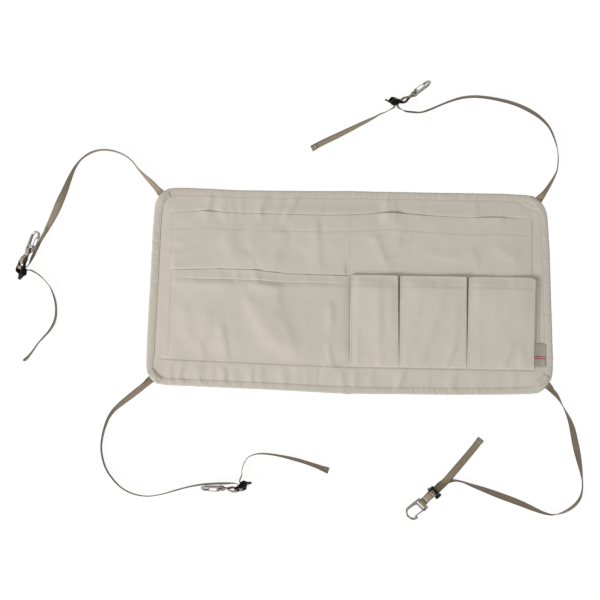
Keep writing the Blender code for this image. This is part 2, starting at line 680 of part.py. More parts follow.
def hook_outlines():
    """Plan of the hook: X runs from the end bar to the nose, and the gate is at +Y."""
    far = SLOT_FAR_WALL + CROSS_PIECE
    bar = END_BAR_HALF
    frame = [
        (-bar, -SLOT_HALF_LENGTH, 0.8), (-3.0, -SLOT_HALF_LENGTH - 0.3, 0.8), (-3.0, -12.0, 1.6),
        (8.0, -13.3, 12.0), (31.5, -15.6, 7.0), (41.0, -5.5, 8.5), (39.0, 10.0, 8.0),
        (30.5, 15.0, 3.0), (25.0, 14.2, 1.8), (25.6, 9.9, 1.2), (31.5, 9.8, 2.5),
        (36.2, 4.5, 5.0), (36.4, -5.0, 5.5), (31.0, -10.8, 4.5), (20.0, -9.0, 8.0),
        (far, -6.5, 2.5), (far, 8.6, 1.5), (11.2, 10.4, 1.2), (8.6, 15.1, 2.2),
        (-3.0, 14.5, 1.6), (-3.0, SLOT_HALF_LENGTH + 0.3, 0.8), (-bar, SLOT_HALF_LENGTH, 0.8)]
    slot = [(bar, -SLOT_HALF_LENGTH, 0.9), (SLOT_FAR_WALL, -SLOT_HALF_LENGTH, 0.9),
            (SLOT_FAR_WALL, SLOT_HALF_LENGTH, 0.9), (bar, SLOT_HALF_LENGTH, 0.9)]
    pin_hole = circle(*GATE_HINGE, GATE_WIRE_RADIUS + FIT_GAP, 10)
    return [rounded(frame, 2), rounded(slot, 2), pin_hole]


def gate_curve():
    """A sprung wire loop, drawn about its hinge: its legs straddle the frame and end in pins."""
    beside = HOOK_THICKNESS / 2 + FIT_GAP + GATE_WIRE_RADIUS
    hinge = Vector((0, 0))
    tip = Vector(GATE_TIP) - Vector(GATE_HINGE)
    along = (tip - hinge).normalized()
    bend = 1.2
    half_route = [(hinge, 0.9), (hinge, beside - bend), (hinge + along * bend * 0.3, beside - bend * 0.3),
                  (hinge + along * bend, beside), (tip - along * 8, beside),
                  (tip - along * 3, (beside + GATE_TIP_HALF) / 2), (tip - along * 1.2, GATE_TIP_HALF),
                  (tip - along * 0.3, GATE_TIP_HALF * 0.7), (tip, GATE_TIP_HALF * 0.25)]
    route = [(p.x, p.y, z) for p, z in half_route]
    route += [(p.x, p.y, -z) for p, z in reversed(half_route)]
    return tube_curve("wire_gate", route, GATE_WIRE_RADIUS)


def tube_curve(name, route, radius):
    curve = bpy.data.curves.new(name, "CURVE")
    curve.dimensions = "3D"
    curve.bevel_depth = radius * MM
    curve.bevel_resolution = 2
    curve.use_fill_caps = True
    spline = curve.splines.new("POLY")
    spline.points.add(len(route) - 1)
    for point, (x, y, z) in zip(spline.points, route):
        point.co = (x * MM, y * MM, z * MM, 1.0)
    return curve


def turn(angle, axis):
    return Matrix.Rotation(math.radians(angle), 4, axis)


def slide(x, y=0):
    return Matrix.Translation((x * MM, y * MM, 0))


def hardware_frames(layout):
    """Where a corner's buckle, loop and hook lie, before they come down to the floor.

    X runs from the buckle's fixed bar to the hook, Y along the bars and Z across.
    """
    heading = math.radians(layout["heading"])
    tip = math.radians(layout["tip"])
    dip = math.radians(layout["dip"])
    ahead = Vector((math.cos(heading), math.sin(heading), 0))
    along = ahead * math.cos(dip) - Vector((0, 0, math.sin(dip)))
    sideways = Vector((-ahead.y, ahead.x, 0))
    across = sideways * math.cos(tip) + sideways.cross(along) * -math.sin(tip)
    bar = across.cross(along)
    frame = Matrix((along, bar, across)).transposed().to_4x4()
    frame.translation = Vector((*layout["bar"], 0)) * MM
    gate_turn = turn(0 if layout["gate_side"] > 0 else 180, "X")
    hook = frame @ slide(LOOP_LENGTH) @ turn(layout["hook"], "Y") @ gate_turn
    return {
        "loop": frame,
        "buckle": frame @ turn(180 + layout["buckle"], "Y"),
        "hook": hook,
        "gate": hook @ slide(*GATE_HINGE),
    }


def lowest(mesh, matrix):
    return min((matrix @ vertex.co).z for vertex in mesh.vertices)


def hardware_places(meshes):
    """Each corner's frames, moved up or down until the set rests on the floor."""
    places = {}
    for corner, layout in HARDWARE.items():
        frames = hardware_frames(layout)
        bottom = min(lowest(meshes[piece], frame) for piece, frame in frames.items())
        rest = Matrix.Translation((0, 0, FLOOR_GAP * MM - bottom))
        places[corner] = {name: rest @ frame for name, frame in frames.items()}
    return places


def make_hardware():
    """Buckle, webbing wrap, loop, hook and gate at each corner."""
    hook = outline_curve("snap_hook", hook_outlines(), HOOK_THICKNESS, HOOK_EDGE)
    meshes = {
        "buckle": buckle_mesh(),
        "wrap": profile_solid("strap_wrap", [wrap_outline()], WEBBING_WIDTH),
        "loop": profile_solid("hook_loop", loop_outlines(), WEBBING_WIDTH),
        "hook": welded_mesh("snap_hook", hook),
        "gate": welded_mesh("wire_gate", gate_curve()),
    }
    for mesh in meshes.values():
        shade(mesh, 40)
    places = hardware_places(meshes)
    for corner, frames in places.items():
        place(f"buckle_{corner}", meshes["buckle"], BUCKLE_FINISH, frames["buckle"])
        place(f"strap_wrap_{corner}", meshes["wrap"], WEBBING_FINISH, frames["buckle"])
        place(f"hook_loop_{corner}", meshes["loop"], WEBBING_FINISH, frames["loop"])
        place(f"snap_hook_{corner}", meshes["hook"], HOOK_FINISH, frames["hook"])
        place(f"wire_gate_{corner}", meshes["gate"], GATE_FINISH, frames["gate"])
    return {corner: frames["buckle"] for corner, frames in places.items()}


# Straps

def rest_height(roll):
    """How high the middle of the webbing is when its lower edge is on the floor."""
    roll = math.radians(roll)
    return (WEBBING_WIDTH / 2 * math.sin(roll) + WEBBING / 2 * abs(math.cos(roll))) + FLOOR_GAP


def roll_of(tangent, across):
    """How far webbing that runs along a tangent is rolled when its width lies along across."""
    left = Vector((0, 0, 1)).cross(tangent).normalized()
    roll = math.degrees(math.atan2(across.dot(tangent.cross(left)), across.dot(left)))
    return (roll + 45) % 180 - 45


def seats(buckle, leg, heights, way):
    """Route points in line with one leg of the wrap, where the webbing meets it."""
    tangent = (buckle.to_3x3() @ Vector((0, 0, way))).normalized()
    roll = roll_of(tangent, buckle.to_3x3() @ Vector((0, 1, 0)))
    points = []
    for height in heights:
        point = buckle @ (Vector((leg, 0, height)) * MM) / MM
        points.append(Vector((*point, roll)))
    return points


def laid_out(plan, seat):
    """Plan points brought to their heights: on the floor, but lifted towards the buckle."""
    lift = seat.z - rest_height(seat.w)
    points = []
    for x, y, roll, *height in plan:
        away = (Vector((x, y)) - seat.xy).length
        share = max(0.0, 1.0 - away / LIFT_SPAN) ** 1.5
        level = height[0] if height else rest_height(roll) + lift * share
        points.append(Vector((x, y, level, roll)))
    return points


def smooth_route(points):
    """Points on a smooth curve through the given ones, at most a step apart."""
    spans = [(b - a).xyz.length for a, b in zip(points, points[1:])]
    slopes = [(b - a) / span for a, b, span in zip(points, points[1:], spans)]
    ends = [slopes[0]]
    for i in range(1, len(slopes)):
        share = spans[i - 1] / (spans[i - 1] + spans[i])
        ends.append(slopes[i - 1].lerp(slopes[i], share))
    ends.append(slopes[-1])
    route = []
    for i, span in enumerate(spans):
        count = math.ceil(span / ROUTE_STEP)
        for j in range(count):
            t = j / count
            route.append(points[i] * (2 * t ** 3 - 3 * t ** 2 + 1)
                         + points[i + 1] * (3 * t ** 2 - 2 * t ** 3)
                         + ends[i] * (span * (t ** 3 - 2 * t ** 2 + t))
                         + ends[i + 1] * (span * (t ** 3 - t ** 2)))
    return [*route, points[-1]]


def make_webbing(name, points, section):
    mesh = swept(name, smooth_route(points), section)
    shade(mesh, 50)
    place(name, mesh, WEBBING_FINISH)


def webbing_section():
    half_width, half_depth = WEBBING_WIDTH / 2, WEBBING / 2
    return section_guide("webbing_section", [(-half_width, half_depth), (half_width, half_depth),
                                             (half_width, -half_depth), (-half_width, -half_depth)])


def make_straps(buckles):
    section = webbing_section()
    for corner, buckle in buckles.items():
        end_height = STRAP_IN_HEIGHT + SEAT_GAP
        entry = seats(buckle, LOCK_BAR_AT - wrap_leg(), (end_height + 4.5, end_height), -1)
        strap = laid_out(STRAP_ROUTES[corner], entry[0]) + entry
        make_webbing(f"strap_{corner}", strap, section)
        start_height = STRAP_OUT_HEIGHT + SEAT_GAP
        leaving = seats(buckle, LOCK_BAR_AT + wrap_leg(), (start_height, start_height + 3.0), 1)
        tail = leaving + laid_out(TAIL_ROUTES[corner], leaving[-1])
        make_webbing(f"strap_tail_{corner}", tail, section)


make_main_panel()
make_edge_binding()
make_back_pocket()
make_left_pocket()
make_bellows_pockets()
make_side_label()
make_corner_tabs()
make_straps(make_hardware())
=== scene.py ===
import math
from functools import partial
import bpy
import bmesh
import numpy as np
from mathutils import Matrix, Vector
from mathutils.bvhtree import BVHTree


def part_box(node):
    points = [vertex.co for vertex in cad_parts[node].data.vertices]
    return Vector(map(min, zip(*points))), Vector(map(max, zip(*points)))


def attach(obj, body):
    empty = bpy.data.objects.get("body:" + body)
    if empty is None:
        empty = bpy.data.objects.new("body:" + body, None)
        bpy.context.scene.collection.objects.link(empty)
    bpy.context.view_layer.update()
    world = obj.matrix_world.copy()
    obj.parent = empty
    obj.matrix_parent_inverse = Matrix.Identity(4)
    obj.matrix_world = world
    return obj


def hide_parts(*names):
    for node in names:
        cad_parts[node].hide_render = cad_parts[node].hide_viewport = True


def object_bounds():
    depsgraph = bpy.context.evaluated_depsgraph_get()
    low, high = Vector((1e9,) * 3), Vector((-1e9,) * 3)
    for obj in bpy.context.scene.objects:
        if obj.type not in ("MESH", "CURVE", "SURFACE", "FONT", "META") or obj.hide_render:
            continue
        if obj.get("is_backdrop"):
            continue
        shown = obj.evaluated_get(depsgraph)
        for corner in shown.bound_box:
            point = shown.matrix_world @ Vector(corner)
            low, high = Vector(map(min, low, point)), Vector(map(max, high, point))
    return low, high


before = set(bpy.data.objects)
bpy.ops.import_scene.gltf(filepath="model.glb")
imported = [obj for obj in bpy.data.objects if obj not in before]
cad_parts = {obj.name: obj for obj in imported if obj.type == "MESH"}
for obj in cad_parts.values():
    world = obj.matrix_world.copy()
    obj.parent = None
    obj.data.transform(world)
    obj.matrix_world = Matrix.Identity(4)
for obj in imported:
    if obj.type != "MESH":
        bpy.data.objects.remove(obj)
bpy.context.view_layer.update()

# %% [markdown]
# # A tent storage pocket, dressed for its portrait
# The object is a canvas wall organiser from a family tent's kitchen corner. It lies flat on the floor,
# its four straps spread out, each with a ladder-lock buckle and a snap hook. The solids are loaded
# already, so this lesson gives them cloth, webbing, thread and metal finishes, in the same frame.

MM = 0.001
CORNERS = ("top_left", "top_right", "bottom_left", "bottom_right")

# %% [markdown]
# ## Camera, floor and light
# The photograph looks straight down from nearly three metres with a longer lens, turned a degree and a
# half. The cloth is lightest at its left, and every mouth that stands open shades the cloth above it, so
# one large soft lamp stands low at the left and below, and a pale sky fills in the rest.

# %% Camera
LENS_MM, SENSOR_MM = 85.0, 36.0
CAMERA_PLACE, CAMERA_TURN = (-0.1001, -0.0166, 2.85), 1.45


def new_camera():
    data = bpy.data.cameras.new("camera")
    data.lens, data.sensor_width = LENS_MM, SENSOR_MM
    camera = bpy.data.objects.new("camera", data)
    bpy.context.scene.collection.objects.link(camera)
    camera.location = CAMERA_PLACE
    camera.rotation_euler = (0.0, 0.0, math.radians(CAMERA_TURN))
    bpy.context.scene.camera = camera
    return camera


camera = new_camera()
bpy.context.scene.view_settings.view_transform = "Standard"
print("camera height", camera.location.z, "m, lens", camera.data.lens, "mm")

# %% One way to write a colour, and one way to add a node
WHITE = (1.0, 1.0, 1.0, 1.0)


def linear(code):
    """An sRGB hex colour as the linear red, green, blue and alpha that shaders take."""
    values = [int(code[i:i + 2], 16) / 255 for i in (1, 3, 5)]
    return [v / 12.92 if v <= 0.04045 else ((v + 0.055) / 1.055) ** 2.4 for v in values] + [1.0]


def add_node(tree, kind, *values, **named):
    """A node. Values go to its inputs in order, and capitalised names to the inputs so named.

    Names in small letters are the node's own settings. A node given as a value stands for its
    first output.
    """
    node = tree.nodes.new("ShaderNode" + kind)
    inputs = dict(enumerate(values))
    for name, value in named.items():
        if name[0].islower():
            setattr(node, name, value)
        else:
            inputs[name.replace("_", " ")] = value
    for key, value in inputs.items():
        if isinstance(value, bpy.types.Node):
            value = value.outputs[0]
        if isinstance(value, bpy.types.NodeSocket):
            tree.links.new(value, node.inputs[key])
        else:
            node.inputs[key].default_value = value
    return node


def new_finish(name):
    """An empty node material, and add_node for its tree."""
    material = bpy.data.materials.new(name)
    material.use_nodes = True
    material.node_tree.nodes.clear()
    return material, partial(add_node, material.node_tree)


def surface(node, colour, relief, strength, depth, bevel=None, **settings):
    """Ends a finish: this colour, with bumps this many millimetres deep, and edges that look rounded."""
    rounded = {"Normal": node("Bevel", bevel * MM, samples=4)} if bevel else {}
    bump = node("Bump", Strength=strength, Distance=depth * MM, Height=relief, **rounded)
    node("OutputMaterial", node("BsdfPrincipled", colour, Normal=bump, **settings))


def wave(node, place, gap):
    """A sine along a coordinate, whose crests are this many millimetres apart."""
    turns = node("Math", place, 2 * math.pi / (gap * MM), operation="MULTIPLY")
    return node("Math", turns, operation="SINE")


print("canvas colour, linear:", [round(v, 3) for v in linear("#C6BFB2")[:3]])

# %% Floor
FLOOR_SIZE, FLOOR_DROP = 14.0, 0.0004


def make_floor():
    """White paper that only the camera, and what mirrors or lets it through, sees as pure white."""
    bpy.ops.mesh.primitive_plane_add(size=FLOOR_SIZE, location=(0.0, 0.0, -FLOOR_DROP))
    floor = bpy.context.object
    floor.name = "floor"
    material, node = new_finish("white_paper_floor")
    paper = node("BsdfDiffuse", linear("#EDEDED"))
    lit = node("BsdfDiffuse", (0.08, 0.08, 0.08, 1.0))
    seen = node("AddShader", lit, node("Emission", WHITE, 0.945))
    path = node("LightPath").outputs
    shiny = node("Math", path["Is Glossy Ray"], path["Is Transmission Ray"], operation="MAXIMUM")
    direct = node("Math", path["Is Camera Ray"], shiny, operation="MAXIMUM")
    node("OutputMaterial", node("MixShader", direct, paper, seen))
    floor.data.materials.append(material)
    floor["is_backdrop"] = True
    return floor


floor = make_floor()
print("floor", FLOOR_SIZE, "m wide,", round(FLOOR_DROP / MM, 1), "mm under the cloth")

# %% Lamp and sky
LAMP_PLACE, LAMP_AIM, LAMP_WATTS = (-4.3, -3.0, 2.9), (-0.05, 0.0, 0.0), 285.0


def make_lamp():
    """One large soft lamp, low at the left and below, like a window."""
    key = bpy.data.lights.new("window", "AREA")
    key.shape = "RECTANGLE"
    key.size, key.size_y = 2.0, 1.7
    key.energy = LAMP_WATTS
    lamp = bpy.data.objects.new("window", key)
    bpy.context.scene.collection.objects.link(lamp)
    lamp.location = LAMP_PLACE
    aim = Vector(LAMP_AIM) - lamp.location
    lamp.rotation_euler = aim.to_track_quat("-Z", "Y").to_euler()
    return lamp


def make_sky():
    """A pale room that lights the cloth, and plain white where the camera sees it."""
    world = bpy.data.worlds.new("pale_room")
    world.use_nodes = True
    bpy.context.scene.world = world
    world.node_tree.nodes.clear()
    node = partial(add_node, world.node_tree)
    room = node("Background", linear("#F7F6F6"), 0.61)
    seen = node("LightPath").outputs["Is Camera Ray"]
    node("OutputWorld", node("MixShader", seen, room, node("Background", WHITE, 1.0)))


lamp = make_lamp()
make_sky()
print("lamp", [round(v, 2) for v in lamp.location], lamp.data.energy, "W")

# %% [markdown]
# ## Where each strap lies
# The straps are 15 mm cotton webbing. Between the cloth and the buckle each one stands on its edge for
# long stretches, which is how such tape lies when it is pulled about on a floor. A route is a list of
# x, y, z and roll, in millimetres and degrees, where roll 0 lies flat and 90 stands on edge. The
# first two points of a strap are under the panel's corner, where it is sewn to the back.

# %% Strap routes
WEBBING_WIDTH, WEBBING_THICKNESS = 15.0, 1.3
STRAPS = {
    "top_left": [
        (-370.5, 176.8, 0.8, 0.0), (-376.6, 182.9, 1.5, -10.0), (-383.2, 189.6, 1.7, -7.0),
        (-391.9, 198.7, 6.9, -40.0), (-403.3, 210.8, 7.4, -49.6), (-418.2, 224.4, 7.6, -68.6),
        (-431.4, 238.0, 7.6, -81.0), (-444.4, 253.8, 7.6, -83.6), (-464.4, 267.2, 7.6, -85.7),
        (-488.7, 273.8, 7.6, -84.0), (-508.5, 273.9, 7.6, -86.0), (-527.9, 267.7, 7.6, -85.2),
        (-546.4, 254.1, 7.6, -90.7), (-557.9, 238.2, 7.4, -82.3), (-568.1, 215.7, 7.1, -64.9),
        (-577.2, 192.2, 5.7, -44.0), (-586.3, 169.8, 6.0, -20.0), (-595.6, 147.3, 5.4, 10.0),
        (-606.7, 122.8, 6.3, 36.0), (-615.2, 105.4, 7.4, 52.0), (-623.3, 90.5, 7.9, 57.0),
        (-631.8, 71.2, 8.8, 57.0), (-639.0, 55.0, 9.6, 60.0), (-651.0, 36.2, 12.0, 84.1),
        (-654.4, 36.6, 14.9, 84.1)],
    "top_right": [
        (361.2, 176.6, 0.8, 0.0), (367.8, 186.9, 1.5, 10.0), (375.0, 197.7, 1.6, 7.0),
        (383.7, 209.5, 7.0, 44.7), (393.6, 224.7, 7.4, 58.5), (401.4, 238.9, 7.6, 68.2),
        (408.0, 253.4, 7.6, 75.2), (410.7, 275.1, 7.6, 75.5), (408.5, 299.2, 7.6, 77.1),
        (401.7, 321.1, 7.6, 69.0), (391.4, 342.0, 7.6, 64.3), (373.9, 360.3, 7.5, 57.5),
        (351.2, 374.8, 7.3, 52.1), (320.7, 387.7, 7.4, 55.5), (290.5, 395.0, 7.5, 58.6),
        (264.4, 399.0, 7.5, 61.7), (238.3, 400.3, 7.5, 64.8), (214.2, 397.2, 7.6, 67.0),
        (190.5, 389.6, 7.6, 71.6), (168.6, 380.2, 7.6, 73.9), (151.0, 372.2, 7.8, 72.8),
        (133.1, 366.0, 8.6, 74.3), (114.8, 365.9, 9.6, 70.0), (99.0, 368.0, 10.8, 76.0),
        (85.2, 377.6, 12.2, 101.4), (85.8, 381.9, 13.5, 101.4)],
    "bottom_left": [
        (-385.6, -176.3, 0.8, 0.0), (-391.6, -180.7, 1.5, -10.0), (-396.2, -184.0, 3.2, -12.0),
        (-406.7, -194.1, 6.3, -38.9), (-417.4, -203.3, 6.2, -38.7), (-435.2, -218.2, 6.5, -43.3),
        (-454.1, -234.0, 7.1, -52.9), (-468.3, -247.6, 7.4, -66.2), (-477.6, -261.5, 7.5, -74.6),
        (-484.8, -280.7, 7.6, -79.1), (-489.8, -303.1, 7.6, -83.9), (-491.2, -323.4, 7.6, -86.8),
        (-487.7, -344.9, 7.6, -87.4), (-479.7, -366.3, 7.6, -89.5), (-465.6, -386.2, 7.6, -90.7),
        (-447.5, -403.0, 7.6, -93.1), (-423.4, -414.2, 7.6, -93.5), (-395.9, -417.8, 7.6, -94.5),
        (-370.7, -413.9, 7.6, -93.5), (-340.8, -404.8, 7.6, -89.2), (-314.9, -397.2, 7.6, -88.8),
        (-287.2, -391.6, 7.7, -86.0), (-261.2, -388.9, 8.9, -84.0), (-235.1, -387.5, 10.8, -86.0),
        (-224.0, -387.0, 11.8, -92.0), (-216.0, -388.2, 12.6, -97.8), (-214.2, -391.9, 14.2, -97.8)],
    "bottom_right": [
        (388.1, -162.6, 0.8, 0.0), (396.4, -170.5, 1.5, -10.0), (402.5, -176.4, 3.0, -14.0),
        (410.3, -185.6, 6.6, -44.5), (419.1, -194.5, 7.1, -54.3), (426.5, -205.2, 7.6, -70.3),
        (432.5, -216.1, 7.6, -80.2), (439.0, -228.0, 7.6, -70.6), (446.7, -243.6, 7.1, -52.9),
        (453.6, -263.2, 5.8, -32.8), (458.3, -283.2, 5.3, -24.0), (463.0, -303.1, 5.4, -21.9),
        (467.6, -323.1, 6.7, -37.7), (472.0, -343.1, 7.4, -56.1), (475.3, -363.1, 7.6, -72.4),
        (475.8, -381.1, 7.6, -70.4), (471.7, -399.8, 7.6, -59.4), (462.8, -412.8, 7.5, -56.1),
        (447.8, -424.6, 7.4, -59.3), (432.2, -431.8, 7.6, -71.3), (415.9, -434.5, 7.6, -90.3),
        (401.6, -431.9, 7.5, -101.4), (381.1, -424.6, 7.1, -117.0), (360.8, -416.5, 6.3, -130.3),
        (336.7, -407.7, 5.6, -139.3), (310.6, -398.9, 5.2, -138.7), (290.4, -391.8, 5.6, -131.1),
        (270.0, -384.9, 6.5, -118.4), (249.8, -378.2, 7.5, -104.3), (235.8, -373.3, 7.9, -96.0),
        (220.0, -370.6, 8.2, -98.0), (206.5, -371.6, 9.0, -120.0), (195.0, -377.5, 10.0, -155.0),
        (182.8, -389.3, 11.4, -180.0), (179.7, -392.5, 12.0, -180.0)],
}
print("strap routes have", [len(STRAPS[corner]) for corner in CORNERS], "points")

# %% Tail routes
TAILS = {
    "top_left": [
        (-652.4, 30.2, 11.7, 95.9), (-650.1, 29.9, 9.7, 95.9), (-641.8, 29.6, 9.4, 93.9),
        (-632.7, 25.5, 9.0, 91.6), (-621.6, 18.1, 8.6, 88.4), (-610.6, 7.2, 8.1, 83.4),
        (-602.4, -2.8, 7.8, 84.5), (-596.0, -15.7, 7.6, 90.1), (-591.3, -29.4, 7.6, 93.1),
        (-588.7, -47.0, 7.6, 93.2), (-589.3, -62.9, 7.6, 95.8), (-593.7, -77.9, 7.6, 98.3),
        (-601.3, -91.0, 7.6, 96.7), (-611.8, -103.4, 7.6, 93.4), (-623.4, -116.9, 7.6, 89.3),
        (-632.5, -130.7, 7.6, 92.1), (-641.4, -142.6, 7.6, 98.5), (-651.3, -151.9, 7.6, 98.5)],
    "top_right": [
        (79.2, 378.2, 13.4, 78.6), (78.8, 375.4, 12.5, 78.6), (72.0, 370.0, 11.7, 82.1),
        (62.6, 364.6, 10.8, 86.5), (50.2, 359.5, 9.7, 91.8), (40.6, 353.7, 8.9, 96.6),
        (27.0, 346.6, 8.0, 105.4), (5.4, 335.3, 7.1, 114.5), (-18.4, 322.8, 6.5, 124.1),
        (-42.2, 310.6, 6.2, 129.6), (-64.2, 299.5, 5.8, 131.9), (-84.8, 288.0, 5.2, 131.9)],
    "bottom_left": [
        (-210.4, -386.0, 11.9, 97.8), (-211.6, -383.5, 10.8, 97.8), (-208.0, -370.3, 10.0, 94.5),
        (-207.6, -358.2, 9.3, 91.7), (-203.9, -346.1, 8.7, 90.7), (-196.3, -335.0, 8.2, 87.8),
        (-184.2, -328.8, 7.9, 88.0), (-168.4, -326.7, 7.6, 91.8), (-150.6, -327.6, 7.6, 94.6),
        (-128.6, -330.8, 7.5, 98.7), (-104.5, -335.8, 7.3, 106.9), (-80.4, -342.1, 7.2, 109.5),
        (-57.9, -349.3, 7.0, 117.0), (-34.3, -358.3, 6.3, 134.0)],
    "bottom_right": [
        (183.3, -388.8, 17.5, 0.0), (185.3, -386.7, 17.0, 0.0), (199.8, -372.1, 16.6, 4.0),
        (219.2, -349.5, 13.2, 9.0), (238.7, -326.9, 7.2, 14.0), (258.1, -303.4, 2.8, 16.0),
        (270.7, -286.0, 2.8, 16.0)],
}
print("tail routes have", [len(TAILS[corner]) for corner in CORNERS], "points")

# %% A smooth course through the points
FLOOR_CLEARANCE = 0.1


def smooth_course(points, step=3.0):
    """Points of x, y, z and roll on a smooth curve through the given ones, about a step apart."""
    points = np.array(points, float)
    spans = np.linalg.norm(np.diff(points[:, :3], axis=0), axis=1)
    chords = np.diff(points, axis=0) / spans[:, None]
    share = (spans[:-1] / (spans[:-1] + spans[1:]))[:, None]
    slopes = np.vstack([chords[:1], chords[:-1] * (1 - share) + chords[1:] * share, chords[-1:]])
    course = []
    for i, span in enumerate(spans):
        for t in np.linspace(0.0, 1.0, max(2, math.ceil(span / step)), endpoint=False):
            course.append(points[i] * (2 * t ** 3 - 3 * t ** 2 + 1)
                          + points[i + 1] * (3 * t ** 2 - 2 * t ** 3)
                          + slopes[i] * span * (t ** 3 - 2 * t ** 2 + t)
                          + slopes[i + 1] * span * (t ** 3 - t ** 2))
    course = np.vstack([course, points[-1:]])
    roll = np.radians(course[:, 3])
    reach = (WEBBING_WIDTH * np.abs(np.sin(roll)) + WEBBING_THICKNESS * np.abs(np.cos(roll))) / 2
    course[:, 2] = np.maximum(course[:, 2], reach + FLOOR_CLEARANCE)
    return course


def length_of(course):
    return float(np.linalg.norm(np.diff(course[:, :3], axis=0), axis=1).sum())


for corner in CORNERS:
    print(corner, "strap", round(length_of(smooth_course(STRAPS[corner]))), "mm, tail",
          round(length_of(smooth_course(TAILS[corner]))), "mm")

# %% [markdown]
# ## Meshes made of rows
# A ribbon, a pocket front and a binding are all a row of points carried along a path, so one
# helper turns a grid of points into a mesh. It also lays out a UV map in metres of real
# cloth, because a weave has to follow the cloth and not the room.

# %% Grid to mesh
def grid_mesh(name, points, uv, round_across=False, round_along=False):
    """A mesh from rows of points in millimetres, with a UV in metres for every point."""
    rows, columns = points.shape[:2]
    i, j = np.meshgrid(np.arange(rows if round_along else rows - 1),
                       np.arange(columns if round_across else columns - 1), indexing="ij")
    i, j = i.ravel(), j.ravel()
    after_i, after_j = (i + 1) % rows, (j + 1) % columns
    faces = np.stack([i * columns + j, i * columns + after_j, after_i * columns + after_j,
                      after_i * columns + j], axis=1)
    uv = np.asarray(uv, float)
    wide = np.concatenate([uv, (2 * uv[:, -1] - uv[:, -2])[:, None]], axis=1)
    wide = np.concatenate([wide, (2 * wide[-1] - wide[-2])[None]], axis=0)
    corner_uv = np.stack([wide[i, j], wide[i, j + 1], wide[i + 1, j + 1], wide[i + 1, j]], axis=1)
    mesh = bpy.data.meshes.new(name)
    mesh.from_pydata((points.reshape(-1, 3) * MM).tolist(), [], faces.tolist())
    layer = mesh.uv_layers.new(name="cloth")
    layer.data.foreach_set("uv", (corner_uv.reshape(-1) * MM).astype(np.float32))
    mesh.shade_smooth()
    return mesh


def add_piece(name, mesh, material, body="pocket_panel"):
    """Puts a finished mesh in the scene, with its material and the body that it rides on."""
    mesh.materials.clear()
    mesh.materials.append(material)
    piece = bpy.data.objects.new(name, mesh)
    bpy.context.scene.collection.objects.link(piece)
    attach(piece, body)
    return piece


def select_only(piece):
    """Operators act on all that is selected, so everything else is let go first."""
    bpy.ops.object.select_all(action="DESELECT")
    piece.select_set(True)
    bpy.context.view_layer.objects.active = piece


def apply_modifier(piece, kind, **settings):
    """Adds a modifier and makes what it does part of the mesh."""
    select_only(piece)
    modifier = piece.modifiers.new(kind.lower(), kind)
    for name, value in settings.items():
        setattr(modifier, name, value)
    bpy.ops.object.modifier_apply(modifier=modifier.name)
    return piece


def add_cloth(name, points, uv, material, thickness, slot="canvas", **wraps):
    """A piece of cloth from a grid of points, with the thickness laid half on either side."""
    piece = add_piece(name, grid_mesh(name, points, uv, **wraps), material)
    return apply_modifier(piece, "SOLIDIFY", thickness=thickness * MM, offset=0.0)


def outward(mesh, fill_ends=True):
    """Turns all the faces outward, once the two open ends of a tube are filled."""
    work = bmesh.new()
    work.from_mesh(mesh)
    if fill_ends:
        bmesh.ops.holes_fill(work, edges=[e for e in work.edges if e.is_boundary])
    bmesh.ops.recalc_face_normals(work, faces=work.faces)
    work.to_mesh(mesh)
    work.free()


print("strap solids to replace", sum(name.startswith("strap_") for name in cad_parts))

# %% [markdown]
# ## Cotton webbing
# The tape is ribbed: each thick weft thread shows as a rib across it, about 1.3 mm apart, and warp
# threads run along it in fine lines. The weft turns back at both edges in a thin, tight selvedge. Both
# edges are painted much darker: partly the selvedge's own tone, partly painted shade for the tape where it
# stands on edge. It could be a texture on Object coordinates, but then the ribs would not
# turn with the tape, so it reads the tape's own UV: u across and v along.

# %% Webbing finish
RIB_GAP, WARP_GAP = 1.3, 0.9


def woven_webbing():
    """Dull cotton: no gloss, a soft sheen from loose fibre, ribs that catch light across."""
    material, node = new_finish("woven_cotton_webbing")
    place = node("UVMap", uv_map="cloth")
    axes = node("SeparateXYZ", place).outputs
    rib, warp = wave(node, axes["Y"], RIB_GAP), wave(node, axes["X"], WARP_GAP)
    woven = node("Math", rib, warp, operation="MULTIPLY")
    weave = node("Math", woven, 0.5, rib, operation="MULTIPLY_ADD")
    fibres = node("TexNoise", place, Scale=1600.0, Detail=3.0, Roughness=0.6)
    wear = node("TexNoise", place, Scale=42.0, Detail=3.0)
    from_middle = node("Math", axes["X"], operation="ABSOLUTE")
    edge = node("MapRange", from_middle, 5.4 * MM, 7.3 * MM, 0.0, 0.85)
    shade = node("MapRange", weave, -1.4, 1.4, 0.0, 1.0)
    thread = node("MixRGB", shade, linear("#847764"), linear("#9F917D"))
    faded = node("MixRGB", wear.outputs["Fac"], thread, linear("#948672"))
    # The edges are painted dark: partly the selvedge's own tone, partly painted shade for tape seen on edge.
    selvedge_and_shade = node("MixRGB", edge, faded, linear("#483B2E"))
    relief = node("Math", fibres.outputs["Fac"], 0.6, weave, operation="MULTIPLY_ADD")
    surface(node, selvedge_and_shade, relief, 0.55, 0.16, Roughness=0.86, Sheen_Weight=0.12, Sheen_Roughness=0.5,
            Specular_IOR_Level=0.2)
    return material


WEBBING_FINISH = woven_webbing()
print("finish", WEBBING_FINISH.name, "rib spacing", RIB_GAP, "mm")

# %% Ribbon along a course
def run_along(points):
    """How far along a line each of its points is."""
    return np.concatenate([[0.0], np.cumsum(np.linalg.norm(np.diff(points, axis=0), axis=1))])


def unit(vectors):
    """The same directions, each one long."""
    return vectors / np.linalg.norm(vectors, axis=1)[:, None]


def tape_section(thickness, edge=0.55):
    """The outline across the tape: flat faces, and edges rolled over a little thread."""
    half, deep = WEBBING_WIDTH / 2, thickness / 2
    face = [(u, deep) for u in np.linspace(-half + 0.7, half - 0.7, 7)]
    rolled = [(half - edge + edge * math.cos(a), deep * math.sin(a)) for a in np.radians((60, 0, -60))]
    return np.concatenate([face + rolled, -np.array(face + rolled)])


